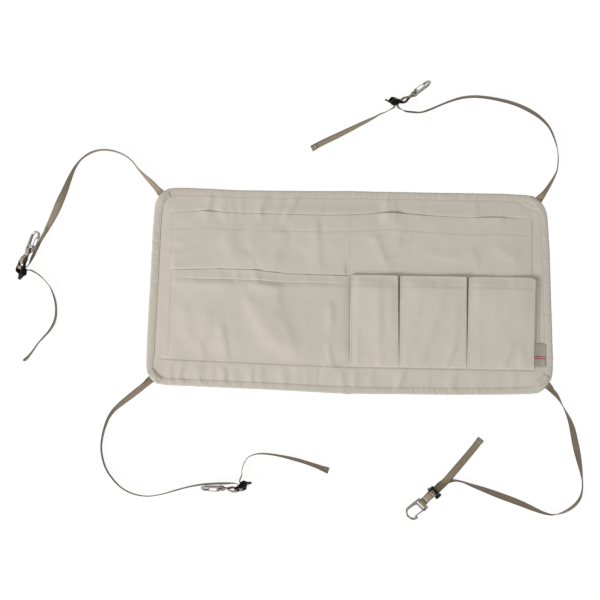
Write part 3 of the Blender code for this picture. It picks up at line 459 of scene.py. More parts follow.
def tape_map(line, section):
    """The tape's UV: u across it and v along it."""
    return np.stack(np.broadcast_arrays(section[None, :, 0], run_along(line)[:, None]), axis=2)


def ribbon_axes(course):
    """The way across and out of the tape at each point of a course."""
    ahead = unit(np.gradient(course[:, :3], axis=0))
    left = unit(np.cross([0.0, 0.0, 1.0], ahead))
    roll = np.radians(course[:, 3])[:, None]
    across = left * np.cos(roll) + np.cross(ahead, left) * np.sin(roll)
    return across, np.cross(ahead, across)


def make_ribbon(name, course, thickness=WEBBING_THICKNESS):
    across, out = ribbon_axes(course)
    section = tape_section(thickness)
    rings = course[:, None, :3] + across[:, None] * section[:, :1] + out[:, None] * section[:, 1:]
    mesh = grid_mesh(name, rings, tape_map(course[:, :3], section), round_across=True)
    outward(mesh)
    return add_piece(name, mesh, WEBBING_FINISH)


straps, tails = {}, {}
for corner in CORNERS:
    straps[corner] = make_ribbon(f"webbing_strap_{corner}", smooth_course(STRAPS[corner]))
    tails[corner] = make_ribbon(f"webbing_tail_{corner}", smooth_course(TAILS[corner]))
    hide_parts(f"strap_{corner}")
    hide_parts(f"strap_tail_{corner}")
print("ribbons", len(straps) + len(tails))

# %% [markdown]
# ## How the cloth lies
# All the layers are sewn together, so a fold in one is a fold in the ones on top of it. The heights
# therefore come from one shared field, and each layer adds only what is its own: a pocket's slack,
# a hem's ridge, the puckers beside a seam. Nothing is simulated, because a cloth that was pressed,
# shipped and spread out keeps folds in places that a simulation would not find.

# %% Soft steps, drift and folds
def ease(value, low, high):
    """0 below low, 1 above high, and smooth in between; low may be the larger one."""
    t = np.clip((value - low) / (high - low), 0.0, 1.0)
    return t * t * (3 - 2 * t)


def drift(x, y, size, seed):
    """Smooth unevenness between -1 and 1 that changes over about this many millimetres."""
    table = np.random.default_rng(seed).uniform(-1, 1, (97, 97))
    u, v = x / size + 40.3, y / size + 37.9
    i, j = np.floor(u).astype(int), np.floor(v).astype(int)
    s, t = ease(u - i, 0, 1), ease(v - j, 0, 1)
    i, j = i % 96, j % 96
    return ((table[i, j] * (1 - s) + table[i + 1, j] * s) * (1 - t)
            + (table[i, j + 1] * (1 - s) + table[i + 1, j + 1] * s) * t)


def hump(away, width):
    """1 where away is 0, falling off on either side. Two widths are for below 0 and above it."""
    if isinstance(width, tuple):
        width = np.where(away < 0, *width)
    return np.exp(-(away / width) ** 2)


def fold(x, y, start, end, width, height):
    """A ridge, or a valley where height is negative, along a line that fades at its ends.

    width is one number, or two: that of the flank at the line's right hand and of the one at its left.
    """
    ax, ay = end[0] - start[0], end[1] - start[1]
    span = math.hypot(ax, ay)
    t = ((x - start[0]) * ax + (y - start[1]) * ay) / span
    off = ((y - start[1]) * ax - (x - start[0]) * ay) / span
    fade = 0.3 * span
    return height * hump(off, width) * ease(t, -0.2 * fade, fade) * ease(span - t, -0.2 * fade, fade)


def with_folds(height, x, y, folds):
    """A height with a list of folds added to it."""
    for one in folds:
        height = height + fold(x, y, *one)
    return height


print("half way along a soft step:", ease(0.5, 0, 1), "and at a ridge's top:", hump(0.0, 5.0))

# %% The folds that every layer shares
# Each is start, end, width and height. Those that run down the cloth have a gentle left flank and a
# steep right one, or the other way round, because a fold leans away from the side it was pulled from.
SHARED_FOLDS = [
    ((-268, 142), (-196, 36), (24, 17), 2.2), ((-212, 134), (-166, 40), (12, 26), 1.6),
    ((-136, 134), (-150, 40), (18, 10), 1.3), ((-66, 150), (-62, 50), (14, 7), 0.9),
    ((-222, 14), (-130, -132), (14, 15), 1.5), ((-186, 14), (-82, -156), (27, 21), 2.3),
    ((44, 124), (80, 40), (13, 9), 1.1), ((98, 160), (92, 80), (13, 7), 1.0),
    ((28, 116), (68, 112), (5, 7), 0.7), ((64, 78), (122, 106), (5, 7), 0.6),
    ((58, 60), (108, 72), (5, 6), 0.5), ((148, 82), (234, 66), (6, 10), 0.8),
    ((236, 98), (256, 50), (18, 9), 0.9), ((286, 100), (342, 72), (7, 10), 0.6),
    ((-372, 69), (-296, 85), (5, 3.2), 0.7), ((-372, 95), (-330, 97), (5, 4), 0.5),
    ((-330, -20), (-318, -110), (12, 10), 0.8), ((-262, -60), (-240, -150), (12, 8), 1.2),
    ((-290, -30), (-284, -104), (9, 9), 0.7), ((-48, -10), (-38, -84), (10, 7), 1.0),
    ((-300, -90), (-300, -154), (10, 6), 0.7), ((-40, -96), (-34, -156), (9, 6), 0.9),
    ((326, 200), (370, 170), (3.0, 3.4), -1.7), ((342, 198), (378, 180), (2.6, 3.0), -1.2),
    ((-56, 214), (-57, 96), (3.4, 5), -0.5), ((-56, -140), (-53, -205), (3.4, 5), -0.8),
]

# The margins took up less cloth at the seams than they have, so short ripples cross them. Each is the
# x at its upper end and at its lower one, and its height.
RIPPLES = {
    (-145, -222): [
        (-358, -350, 1.3), (-334, -330, 1.5), (-303, -298, 1.7), (-277, -282, 0.9), (-253, -258, 2.2),
        (-229, -226, 0.8), (-195, -190, 1.6), (-174, -171, 1.3), (-132, -127, 1.5), (-105, -101, 0.7),
        (-85, -82, 0.7), (-22, -14, 1.3), (15, 20, 1.1), (61, 47, 1.0), (121, 98, 2.0), (161, 156, 0.7),
        (216, 207, 1.2), (263, 258, 0.6), (301, 294, 0.6), (338, 330, 0.8)],
    (214, 136): [
        (-274, -304, 2.0), (-257, -262, 1.2), (-242, -246, 1.0), (-221, -225, 0.8), (-175, -187, 2.0),
        (-150, -152, 0.7), (-114, -136, 1.7), (74, 75, 1.6), (90, 88, 1.2), (140, 138, 0.5),
        (238, 244, 0.9), (300, 296, 0.5)],
}
RIPPLE_FOLDS = [((upper, ends[0]), (lower, ends[1]), (10, 7.0), 1.1 * rise)
                for ends, ripples in RIPPLES.items() for upper, lower, rise in ripples]
WIDER, HIGHER = 1.15, 1.5
SHARED_FOLDS = [(start, end, (WIDER * right, WIDER * left), HIGHER * rise)
                for start, end, (right, left), rise in SHARED_FOLDS]

# The straps are sewn in under the corners, which stand a little higher for it.
SEWN_CORNERS = ((-381, 183), (368, 186), (-391, -179), (392, -172))


def shared_lie(x, y):
    """How far the cloth as a whole stands off the floor."""
    height = (1.9 + 0.8 * drift(x, y, 150, 3) + 0.8 * drift(x, y, 66, 5) + 0.5 * drift(x, y, 31, 8)
              + 0.18 * drift(x, y, 14, 9))
    edge = np.minimum(398 - np.abs(x), 198 - np.abs(y))
    spots = [np.hypot(x - side_x, y - side_y) for side_x, side_y in SEWN_CORNERS]
    x, y = x + 8 * drift(x, y, 44, 11) + 3.2 * drift(x, y, 16, 12), y + 7 * drift(x, y, 48, 13)
    height = with_folds(height, x, y, SHARED_FOLDS) * (0.3 + 0.7 * ease(edge, 0, 55))
    for ripple in RIPPLE_FOLDS:
        height = height + fold(x, y, *ripple) * (0.25 + 0.75 * ease(edge, 2, 16))
    for away in spots:
        height = height + 2.4 * hump(away, 24.0)
    return np.maximum(height, 0.05)


x, y = np.meshgrid(np.linspace(-400, 400, 90), np.linspace(-200, 200, 50))
print("cloth stands off the floor by", shared_lie(x, y).min().round(2), "to",
      shared_lie(x, y).max().round(2), "mm")

# %% [markdown]
# ## The panel's outline
# The panel was cut as a rectangle that tapers a little to the top, with rounded corners. Sewing and use
# have pulled it out of true: its sides bow out, its top rises to the right, and each corner has a
# radius of its own. The outline is drawn true first and then pulled by those amounts.

# %% Outline
PANEL_WIDTH, PANEL_HEIGHT, TOP_TAKE_UP = 814.0, 400.0, 15.0
CORNER_RADII = {"bottom_left": 36.0, "bottom_right": 44.0, "top_right": 48.0, "top_left": 42.0}
PULLED = {
    "left": ([-200, -150, -95, 0, 60, 117, 177, 200],
             [1.5, -1.2, -2.8, -3.2, -3.8, -4.8, -3.2, -1.0]),
    "right": ([-200, -155, -125, -75, 95, 135, 160, 200],
              [3.0, 6.0, 7.4, 6.4, 3.2, 1.0, -0.6, -1.0]),
    "top": ([-390, -330, -275, -225, -85, 0, 100, 200, 300, 390],
            [2, 3.2, 2.2, 1, 3, 5, 5.4, 6.3, 7.3, 5]),
    "bottom": ([-390, -360, -270, -160, -20, 60, 100, 200, 300, 390],
               [7, 5.2, 3.6, 1.6, -2.6, -2.2, -1, 0, 3, 7]),
}


def arc(x, y, radius, start, end, count):
    """Points round a centre, from one angle in degrees to the other."""
    return [(x + radius * math.cos(a), y + radius * math.sin(a))
            for a in np.radians(np.linspace(start, end, count))]


def half_width(y):
    return PANEL_WIDTH / 2 - TOP_TAKE_UP * (y + PANEL_HEIGHT / 2) / PANEL_HEIGHT


def pulled(x, y):
    """The true outline's points, pulled to where the sewn one lies."""
    left = np.interp(y, *PULLED["left"]) * ease(-x, 150, 370)
    right = np.interp(y, *PULLED["right"]) * ease(x, 150, 370)
    top = np.interp(x, *PULLED["top"]) * ease(y, 60, 185)
    bottom = np.interp(x, *PULLED["bottom"]) * ease(-y, 90, 185)
    return x + left + right, y + top + bottom


def true_outline(inset):
    """Anticlockwise points at an inset from the edge, with each corner's own radius."""
    points = []
    for k, (corner, radius) in enumerate(CORNER_RADII.items()):
        centre_y = (1 if "top" in corner else -1) * (PANEL_HEIGHT / 2 - radius)
        centre_x = (1 if "right" in corner else -1) * (half_width(centre_y) - radius)
        points += arc(centre_x, centre_y, radius - inset, 180 + 90 * k, 270 + 90 * k, 25)
    return np.array(points + points[:1])


def even_steps(points, count):
    """The same closed line with evenly spaced points."""
    run = run_along(points)
    at = np.linspace(0.0, run[-1], count, endpoint=False)
    return np.stack([np.interp(at, run, points[:, 0]), np.interp(at, run, points[:, 1])], axis=1)


def pulled_line(line):
    """Every point of a line pulled as the outline is."""
    return np.stack(pulled(line[:, 0], line[:, 1]), axis=1)


EDGE_COUNT = 760
edge_line = even_steps(true_outline(0.0), EDGE_COUNT)
ahead = unit(np.roll(edge_line, -1, axis=0) - np.roll(edge_line, 1, axis=0))
EDGE_INWARD = np.stack([-ahead[:, 1], ahead[:, 0]], axis=1)
EDGE_RUN = np.arange(EDGE_COUNT) * np.linalg.norm(edge_line[1] - edge_line[0])
print("edge length", round(EDGE_RUN[-1]), "mm")

# %% [markdown]
# ## Washed cotton canvas
# Plain weave canvas of about 300 grams has some 20 threads to the centimetre, which is half a
# millimetre a thread. At this distance one thread is a quarter of a pixel, so the weave is drawn
# twice as coarse, and what reads is its soft, even tooth and the thicker threads that run
# through it here and there. Dyed cotton takes the colour unevenly along its threads too.

# %% Canvas finish
THREAD_GAP = 1.0


def woven_canvas(name, light, dark):
    """Dull plain weave: no gloss, a faint sheen of fibre, threads over and under."""
    material, node = new_finish(name)
    place = node("UVMap", uv_map="cloth")
    uneven = node("TexNoise", place, Scale=90.0, Detail=2.0)
    wander = node("VectorMath", uneven.outputs["Color"], (0.9 * MM, 0.9 * MM, 0.0), place,
                  operation="MULTIPLY_ADD")
    turns = [wave(node, axis, 2 * THREAD_GAP) for axis in node("SeparateXYZ", wander).outputs[:2]]
    over = node("Math", *turns, operation="MULTIPLY")
    threads = []
    for scale in ((12.0, 420.0, 1.0), (420.0, 12.0, 1.0)):
        stretched = node("Mapping", place, Scale=scale)
        threads.append(node("TexNoise", stretched, Scale=1.0, Detail=2.0).outputs["Fac"])
    slubs = node("Math", *threads, operation="ADD")
    fibres = node("TexNoise", place, Scale=2200.0, Detail=3.0)
    relief = node("Math", over, 0.5, slubs, operation="MULTIPLY_ADD")
    relief = node("Math", fibres.outputs["Fac"], 0.5, relief, operation="MULTIPLY_ADD")
    cast = node("TexNoise", place, Scale=9.0, Detail=3.0, Roughness=0.6)
    tone = node("Math", slubs, 0.6, -0.35, operation="MULTIPLY_ADD")
    tone = node("Math", cast.outputs["Fac"], 0.5, tone, operation="MULTIPLY_ADD")
    colour = node("MixRGB", node("Clamp", tone), linear(dark), linear(light))
    surface(node, colour, relief, 0.5, 0.1, Roughness=0.92, Sheen_Weight=0.08, Sheen_Roughness=0.6,
            Specular_IOR_Level=0.15)
    return material


CANVAS_FINISH = woven_canvas("washed_cotton_canvas", "#CBC4B8", "#C0B9AC")
BINDING_FINISH = woven_canvas("canvas_cut_on_the_bias", "#C7C0B3", "#BBB4A7")
print("canvas", CANVAS_FINISH.name, "binding", BINDING_FINISH.name)

# %% [markdown]
# ## The panel
# The back cloth shows only in the margins round the pockets. It ripples there, because the seams on
# either side took up less cloth than the margin has.

# %% Panel
def profile(places, values):
    """A line through the values at the places, as a function."""
    return lambda at: np.interp(at, places, values)


back_mouth_y = profile(
    [-363, -345, -322, -298, -272, -245, -150, -50, 0, 40, 66, 88, 105, 150, 200, 250, 292, 325, 363],
    [152.8, 153.6, 155.2, 156.8, 156.0, 154.6, 154.2, 154.4, 156.2, 159.6, 162.2, 162.6, 161.2, 158.7, 157.4,
     157.2, 158.6, 157.7, 157.0])
foot_y = profile([-370, -180, 0, 375], [-139.8, -144.0, -146.8, -144.4])
PANEL_REACH, LOW_BEND, HIGH_BEND = 198.6, 42, 28
# Where the back pocket's mouth gapes: the place, how wide, and how much over the rest.
GAPES = ((80, 24, 0.75), (285, 32, 0.4), (-286, 18, 0.35), (135, 25, 0.2))


def mouth_gape(x):
    """How far the back pocket's mouth stands open, from 0 to 1."""
    return 0.25 + sum(share * hump(x - middle, width) for middle, width, share in GAPES)


def add_steps(stops, step=3.0):
    """Positions that include every stop, and more between them at most a step apart."""
    places = [stops[0]]
    for a, b in zip(stops, stops[1:]):
        places += list(np.linspace(a, b, max(1, math.ceil((b - a) / step)) + 1)[1:])
    return np.array(places)


def make_panel():
    """Rows lie closer where the outline bends, and beside the pockets' foot and mouth."""
    turn = math.pi / 2
    rows = np.concatenate([
        -PANEL_REACH + LOW_BEND * (1 - np.cos(np.linspace(0, turn, 18))), np.arange(-155.5, -139, 0.8),
        np.arange(-138.5, 148, 3.1), np.arange(149, 170, 1.0),
        PANEL_REACH - HIGH_BEND * (1 - np.cos(np.linspace(turn, 0, 14)))])
    rim = even_steps(true_outline(1.2), 3000)
    ends = [rim[np.abs(rim[:, 1] - y) < 3.0][:, 0] for y in rows]
    low, high = (np.array([end(x) for x in ends])[:, None] for end in (np.min, np.max))
    x = (low + high) / 2 + np.linspace(-1, 1, 268) * (high - low) / 2
    y = np.repeat(rows[:, None], x.shape[1], axis=1)
    uv = np.stack([x, y], axis=2)
    x, y = pulled(x, y)
    above, under, from_middle = y - back_mouth_y(x), y - foot_y(x), np.abs(x)
    z = 1.4 + shared_lie(x, y) - 0.6 * mouth_gape(x) * hump(above - 0.8, 2.4)
    closed = 1 - ease(mouth_gape(x), 0.27, 0.7)
    z = z + 1.2 * closed * ease(above, 0.8, 2.4) * ease(above, 26, 4) * ease(from_middle, 366, 350)
    z = z - 1.0 * hump(under + 1.9, (1.5, 4.0)) * ease(from_middle, 384, 372)
    points = np.stack([x, y, np.maximum(z, 0.6)], axis=2)
    panel = add_cloth("canvas_panel", points, uv, CANVAS_FINISH, 0.9)
    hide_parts("main_panel")
    return panel


panel = make_panel()
print("panel faces", len(panel.data.polygons))

# %% [markdown]
# ## The edge binding
# A strip of the same canvas is folded round the raw edge and sewn through with one row of stitches. It
# could be swept as a curve, but then its puckers would have to be cut in later. Here a section is
# carried round the outline, and every point of it may be raised a little, so that the strip is
# plump between its fold and its stitches and pinched every centimetre or so.

# %% Binding
# Each is how far in from the edge, how high, how far the strip's lower side is pressed down there, and
# how much of a pucker shows. The strip goes from its rear edge round the fold to its front edge.
BINDING_SECTION = np.array([
    (13.4, 0.32, 0, 0), (10.0, 0.3, 0, 0), (6.0, 0.3, 0, 0), (2.6, 0.34, 0, 0), (1.0, 0.62, 0, 0),
    (0.35, 1.4, 0, 0), (0.9, 2.3, 0, 0.3), (2.2, 2.75, 0, 0.6), (4.0, 2.88, 0, 0.9), (6.0, 2.88, 0, 1.0),
    (8.0, 2.8, 0.05, 0.9), (9.8, 2.66, 0.12, 0.65), (10.9, 2.4, 0.35, 0.3), (11.7, 2.12, 0.5, 0.1),
    (12.4, 2.3, 1.0, 0.15), (12.9, 2.44, 1.4, 0.2), (13.4, 2.36, 1.6, 0.2)])
PUCKER_GAP = 10.5
JOIN_PLACE, JOIN_REACH = -2.0, 8.0
BINDING_WIDER = (1.2 + 0.06 * ease(edge_line[:, 1], 150, 185) + 0.04 * ease(-edge_line[:, 1], 150, 185)
                 + 0.1 * ease(edge_line[:, 0], 350, 385))[:, None]


def make_binding():
    """The strip has uneven puckers, and a thicker place at the bottom where its ends overlap."""
    run = EDGE_RUN
    beat = run + 6.0 * drift(run, 0 * run, 40, 31)
    pucker = 0.28 * np.sin(beat * 2 * math.pi / PUCKER_GAP) + 0.42 * drift(run, 0 * run, 7.5, 32)
    pucker = (pucker * (0.8 + 0.6 * drift(run, 0 * run, 70, 33)))[:, None]
    from_join = (edge_line[:, :1] - JOIN_PLACE) / JOIN_REACH
    joined = np.exp(-from_join ** 8) * (edge_line[:, 1:] < -150)
    low_side = ease(-edge_line[:, 1:], 120, 175)
    inset, level, sunk, puffed = BINDING_SECTION.T
    reach = inset * BINDING_WIDER + 0.5 * pucker * (inset < 3) - 1.3 * joined * (inset < 4)
    x, y = pulled(*(edge_line.T[:, :, None] + EDGE_INWARD.T[:, :, None] * reach))
    on_front = np.arange(len(inset)) > 5
    z = level - sunk * low_side + puffed * pucker + 0.55 * joined * on_front + shared_lie(x, y)
    uv = np.stack(np.broadcast_arrays(run[:, None], np.arange(len(inset)) * 2.0), axis=2)
    on_the_bias = np.array([[1, 1], [-1, 1]]) / math.sqrt(2)
    binding = add_cloth("canvas_binding", np.stack([x, y, z], axis=2), uv @ on_the_bias, BINDING_FINISH,
                        0.55, round_along=True)
    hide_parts("edge_binding")
    return binding


binding = make_binding()
print("binding faces", len(binding.data.polygons))

# %% [markdown]
# ## Flat pockets
# A pocket front is one cloth. Its mouth is a hem: the cloth turns over and comes back down inside, and
# a row of stitches holds it. The mesh does the same, in rows that climb to the mouth, go
# round the fold and come back. The cloth is flat along its sewn sides and slack in between.

# %% Pocket front
CLOTH = 0.6
FOLD_GAP = CLOTH * 1.4


def turned_over(top, top_uv):
    """Rows of points that carry a mouth's last row round its fold, and their UV."""
    angles = np.radians((35, 75, 105, 145))
    rows = [top + [0, FOLD_GAP / 2 * math.sin(a), -FOLD_GAP / 2 * (1 - math.cos(a))] for a in angles]
    return rows, [top_uv + [0, FOLD_GAP * a / 2] for a in angles]


def pocket_front(name, left, right, bottom, mouth, level, slack, hem, columns=(), rows=()):
    """A pocket front from its sewn bottom to its mouth and back down inside, as a piece.

    left and right give x for y, bottom and mouth give y for a share of the width, and slack
    gives the height over the sewn edges for x, y and the distance below the mouth.
    """
    wide, tall = right(0) - left(0), mouth(0.5) - bottom(0.5)
    rims = (0, 0.2, 1.2, 2.6, 4.0, 6.0, 9.0)
    across = add_steps(sorted({*rims, *(wide - r for r in rims), *(round(c, 2) for c in columns)})) / wide
    rims = {0, 0.2, 0.8, 1.6, 2.6, 4.0, 7.0, tall - 0.7, tall}
    up = add_steps(sorted(rims | {round(tall - r, 2) for r in rows})) / tall
    share, climb = np.meshgrid(across, up)
    y = bottom(share) + (mouth(share) - bottom(share)) * climb
    x = left(y) + (right(y) - left(y)) * share
    z = level + CLOTH / 2 + slack(x, y, mouth(share) - y)
    front, uv = np.stack([x, y, z], axis=2), np.stack([x, y], axis=2)
    inside, inside_uv = turned_over(front[-1], uv[-1])
    for depth in add_steps([0.3, hem], 4.0):
        y_in = y[-1] - depth
        x_in = left(y_in) + (right(y_in) - left(y_in)) * (0.004 + 0.992 * across)
        z_in = level + CLOTH / 2 + slack(x_in, y_in, np.full_like(y_in, depth)) - FOLD_GAP
        inside.append(np.stack([x_in, y_in, z_in], axis=1))
        inside_uv.append(uv[-1] + [0, FOLD_GAP * 1.6 + depth])
    points, uv = np.concatenate([front, inside]), np.concatenate([uv, inside_uv])
    return add_cloth(name, points, uv, CANVAS_FINISH, CLOTH)


print("cloth", CLOTH, "mm thick, folded over a gap of", round(FOLD_GAP, 2), "mm")

# %% Back pocket
BACK_LEVEL, BACK_HEM = 2.0, 33.0
BELLOWS = {"left": (1.0, 98.2), "middle": (102.4, 236.5), "right": (240.1, 374.5)}
left_mouth_y = profile([-363, -350, -310, -272, -230, -190, -163, -125, -50, 0],
                       [37.6, 37.8, 39.0, 41.0, 41.0, 40.8, 37.6, 34.8, 34.0, 33.6])
bellows_mouth = profile([0, 50, 170, 307, 380], [36.6, 37.0, 37.6, 39.2, 39.8])


def back_right(y):
    return 362.5 + 6.5 * (157.5 - y) / 305.5


def back_left(y):
    return -back_right(y)


def back_mouth(share):
    return back_mouth_y(-362.5 + 725 * share)


def back_bottom(share):
    return foot_y(-369 + 738 * share) - 0.7


def back_slack(x, y, below):
    """Slack of the back pocket's cloth: sewn flat under the front pockets, loose above them."""
    from_left, from_right, gape = x - back_left(y), back_right(y) - x, mouth_gape(x)
    sides = ease(from_left, 2.5, 60) * ease(from_right, 2.0, 45)
    height = (1.5 + 0.5 * drift(x, y, 70, 41)) * sides * ease(y, 44, 100) * (0.5 + 0.5 * ease(below, 2, 40))
    over = y - left_mouth_y(x)
    beside = ease(-x, 6, 14) * ease(from_left, 1, 10)
    height = height + 2.0 * ease(over, 0.6, 1.8) * ease(over, 44, 4) * beside
    height = height + 2.5 * (gape - 0.25) * ease(below, 24, 0) * sides
    height = height - 0.35 * ease(below, 9, 0) * (1 - gape)
    over = y - bellows_mouth(x)
    for low, high in BELLOWS.values():
        hollow = np.sin(math.pi * np.clip((x + 2.0 - low) / (high - low), 0, 1)) ** 0.8
        height = height + 1.3 * hollow * ease(over, 9.5 * hollow + 0.5, 0.5) * ease(over, -14, -4)
    stitches = -(0.22 + 0.12 * drift(x, y, 30, 42)) * hump(below - BACK_HEM, (4.0, 1.1))
    press = -0.3 * ease(y - foot_y(x), 3.0, -1.0) - 0.4 * ease(from_right, 4.5, -0.5)
    divider = -0.22 * hump(x + 1.5, 1.6) * ease(y, 38, 44)
    return shared_lie(x, y) + height + stitches * ease(y, 60, 75) + divider + press


back_pocket = pocket_front("canvas_back_pocket", back_left, back_right, back_bottom, back_mouth, BACK_LEVEL,
                           back_slack, BACK_HEM, rows=(30.5, 32.0, 33.0, 34.0, 35.5),
                           columns=(353.0, 357.5, 359.5, 361.0, 362.5, 364.0, 366.0, 369.0, 374.0))
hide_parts("back_pocket")
print("back pocket faces", len(back_pocket.data.polygons))

# %% Left pocket
FRONT_LEVEL = BACK_LEVEL + CLOTH + 0.25
LEAN_PLACES = [1.0, 98.2, 102.4, 236.5, 240.1, 374.5]
lean_at_mouth = profile(LEAN_PLACES, [-1.0, -3.7, -3.2, -4.0, -3.2, -3.0])
lean_at_foot = profile(LEAN_PLACES, [3.0, 2.7, 0.5, 0.4, -1.0, -1.4])
left_hem = profile([-363, -340, -276, -238, -195, -150, -100, -50, 0],
                   [14.4, 15.0, 18.2, 18.0, 18.6, 16.4, 14.9, 14.5, 14.3])
hem_crease = profile([-363, -320, -300, -245, -228, -205, -192, -145, -130, 0],
                     [0.7, 0.8, 1.8, 1.8, 0.7, 0.7, 2.1, 2.1, 0.8, 0.7])
LEFT_FOLDS = [
    ((-319, 50), (-316, 12), (6, 4.5), 0.6), ((-264, 50), (-260, 12), (7, 4.5), 0.6),
    ((-230, 50), (-224, 12), (7, 4), 0.7), ((-198, 52), (-180, 8), (9, 6), 1.3),
    ((-90, 44), (-86, 12), (7, 5), 0.5), ((-32, 44), (-26, 10), (6, 5), 0.5),
    ((-352, 50), (-350, 6), (5, 3), 0.5), ((-150, 20), (-140, -40), (12, 8), 0.6),
]


def lean(x, y):
    """How far the front pockets' sewn sides stand aside from their true places."""
    climb = (y + 146.0) / 182.0
    return lean_at_mouth(x) * climb + lean_at_foot(x) * (1 - climb)


def left_left(y):
    return -362.5 - 5.0 * (35 - y) / 180.5


def left_right(y):
    return 0.5 + lean(1.0, y)


def left_mouth(share):
    return left_mouth_y(-363 + 363 * share)


def left_bottom(share):
    return foot_y(-367 + 367 * share)


def left_slack(x, y, below):
    """Slack of the left pocket: its hem leans back to the mouth, over a stitched groove and a bulge."""
    from_left, crease, hem = x - left_left(y), hem_crease(x), left_hem(x) + 1.3
    near_right = np.clip((left_right(y) - x) / 21.0, 0, 1)
    sides = ease(from_left, 2.0, 80) * (1 - (1 - near_right) ** 2)
    over_foot = y - foot_y(x)
    height = 0.35 + (2.5 + 0.7 * drift(x, y, 70, 51)) * ease(over_foot, 1.5, 45) - 1.1 * ease(below, hem, 0)
    groove = -(1.0 + 0.2 * drift(x, y, 50, 52)) * (0.7 + 0.3 * crease) * hump(below - hem, (1.2, 1.6))
    bulge = 1.1 * crease * hump(below - hem - 9.0, (4.4, 14.0))
    relief = groove + bulge + with_folds(0 * x, x, y, LEFT_FOLDS)
    steady = 0.15 + 0.85 * ease(from_left, 2.0, 12.0) * near_right
    press = -0.45 * ease(over_foot, 4.0, 0.0)
    return shared_lie(x, y) + np.maximum(height * sides + relief * steady, 0.0) + press


left_pocket = pocket_front("canvas_left_pocket", left_left, left_right, left_bottom, left_mouth, FRONT_LEVEL,
                           left_slack, 14.0, rows=tuple(np.arange(12.0, 26.0, 0.6).round(2)))
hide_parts("left_pocket")
print("left pocket faces", len(left_pocket.data.polygons))

# %% [markdown]
# ## Bellows pockets
# These three stand out from the cloth. Each has a pleat at either side that folds inwards, and opens
# when something thick goes in. The last one's outer pleat has slipped outwards and shows. The section
# goes from the sewn edge, round the pleat, over the front and down the other side, and it is
# carried from the sewn foot up to the mouth, where the front is hemmed as the flat pockets are.

# %% Section of a bellows pocket
# One side of the section from the sewn edge up to the front: the inset, the height over the cloth when
# the pleat is flat, and the share that is added of the height it stands to.
PLEAT = [(5.6, 0.1, 0), (2.0, 0.1, 0), (0.9, 0.25, 0.02), (1.6, 0, 0.2), (4.6, 0, 0.36), (6.3, 0, 0.45),
         (6.6, 0, 0.5), (6.3, 0, 0.56), (4.0, 0, 0.7), (1.0, 0, 0.86), (0.3, 0, 0.93), (0.3, 0, 0.985)]
OUTER_PLEAT = [(3.0, -1.1, 0), (1.0, -1.3, 0), (-3.5, -1.45, 0), (-8.8, -1.5, 0), (-9.9, -1.3, 0.02),
               (-10.0, -1.1, 0.03), (-9.6, -0.95, 0.04), (-8.4, -0.9, 0.05), (-5.0, -0.75, 0.14),
               (0.0, -0.5, 0.34), (2.8, -0.2, 0.42), (4.0, 0, 0.48), (4.1, 0, 0.55), (3.2, 0, 0.65),
               (1.4, 0, 0.8), (0.4, 0, 0.9), (0.2, 0, 0.95), (0.3, 0, 0.985)]


def bellows_section(wide, outer):
    """Across a pocket: each point's inset, height, share of the standing height and place in the UV.

    The last value says which of the points are the front's.
    """
    rims = [0.9, 1.8, 2.6, 4.0, 7.0]
    across = add_steps(rims + [wide - r for r in rims[::-1]])
    left, right = np.array(PLEAT), np.array(OUTER_PLEAT if outer else PLEAT)[::-1]
    inset = np.concatenate([left[:, 0], across, wide - right[:, 0]])
    offset, share_up = (np.concatenate([left[:, k], 0 * across + on_front, right[:, k]])
                        for k, on_front in ((1, 0), (2, 1)))
    beyond = np.repeat([-3, 0, 3], [len(left), len(across), len(right)])
    return inset, offset, share_up, inset + beyond, slice(len(left), len(left) + len(across))


print("points in a pleat", len(PLEAT), "and in the one that slipped", len(OUTER_PLEAT))

# %% Front and hem of a bellows pocket
TALL, BELLOWS_HEM = 176.0, 22.0


def bellows_relief(x, y, inset, wide, climb, leaning, below, over_foot, bulge, folds):
    """What a front adds to its standing height: unevenness, folds, its bulge, seams and stitches."""
    across = np.sin(math.pi * np.clip(inset / wide, 0, 1))
    relief = with_folds(0.4 * drift(x, y, 46, 61) + 0.2 * drift(x, y, 20, 62), x, y, folds)
    relief = relief + bulge * hump(climb - 1, 0.4) * across * (1 - 0.5 * leaning)
    relief = relief * ease(inset, 0, 24) * ease(wide - inset, 0, 16) * ease(climb, 0.0, 0.03)
    relief = relief - 0.12 * (hump(inset - 2.6, 0.9) + hump(wide - inset - 2.6, 0.9))
    relief = relief - 0.2 * hump(below - BELLOWS_HEM, (4.0, 1.1)) - 0.5 * ease(over_foot, 4.0, 0.0)
    return relief * ease(inset, 0.8, 2.5) * ease(wide - inset, 0.8, 2.5)


def bellows_hem(front, uv):
    """Rows of points that go from a front's last row round the fold and down behind it."""
    top, top_uv = front[-1], uv[-1]
    rows, uv_rows = turned_over(top, top_uv)
    share = (top_uv[:, 0] - top_uv[0, 0]) / (top_uv[-1, 0] - top_uv[0, 0])
    for depth in add_steps([0.3, BELLOWS_HEM], 5.0):
        behind = np.array([np.interp(here[1] - depth, *column.T[1:])
                           for here, column in zip(top, front.swapaxes(0, 1))])
        x = top[0, 0] + 1.4 + (top[-1, 0] - top[0, 0] - 2.8) * share
        rows.append(np.stack([x, top[:, 1] - depth, behind - FOLD_GAP], axis=1))
        uv_rows.append(top_uv + [0, FOLD_GAP * 1.6 + depth])
    return np.array([top, *rows]), np.array([top_uv, *uv_rows])


def welded(mesh, other):
    """The first mesh with the other's faces added, and points that meet made one."""
    work = bmesh.new()
    work.from_mesh(mesh)
    work.from_mesh(other)
    bmesh.ops.remove_doubles(work, verts=work.verts, dist=0.01 * MM)
    work.to_mesh(mesh)
    work.free()
    bpy.data.meshes.remove(other)
    return mesh


print("a front is", TALL, "mm tall, and its hem", BELLOWS_HEM, "mm")

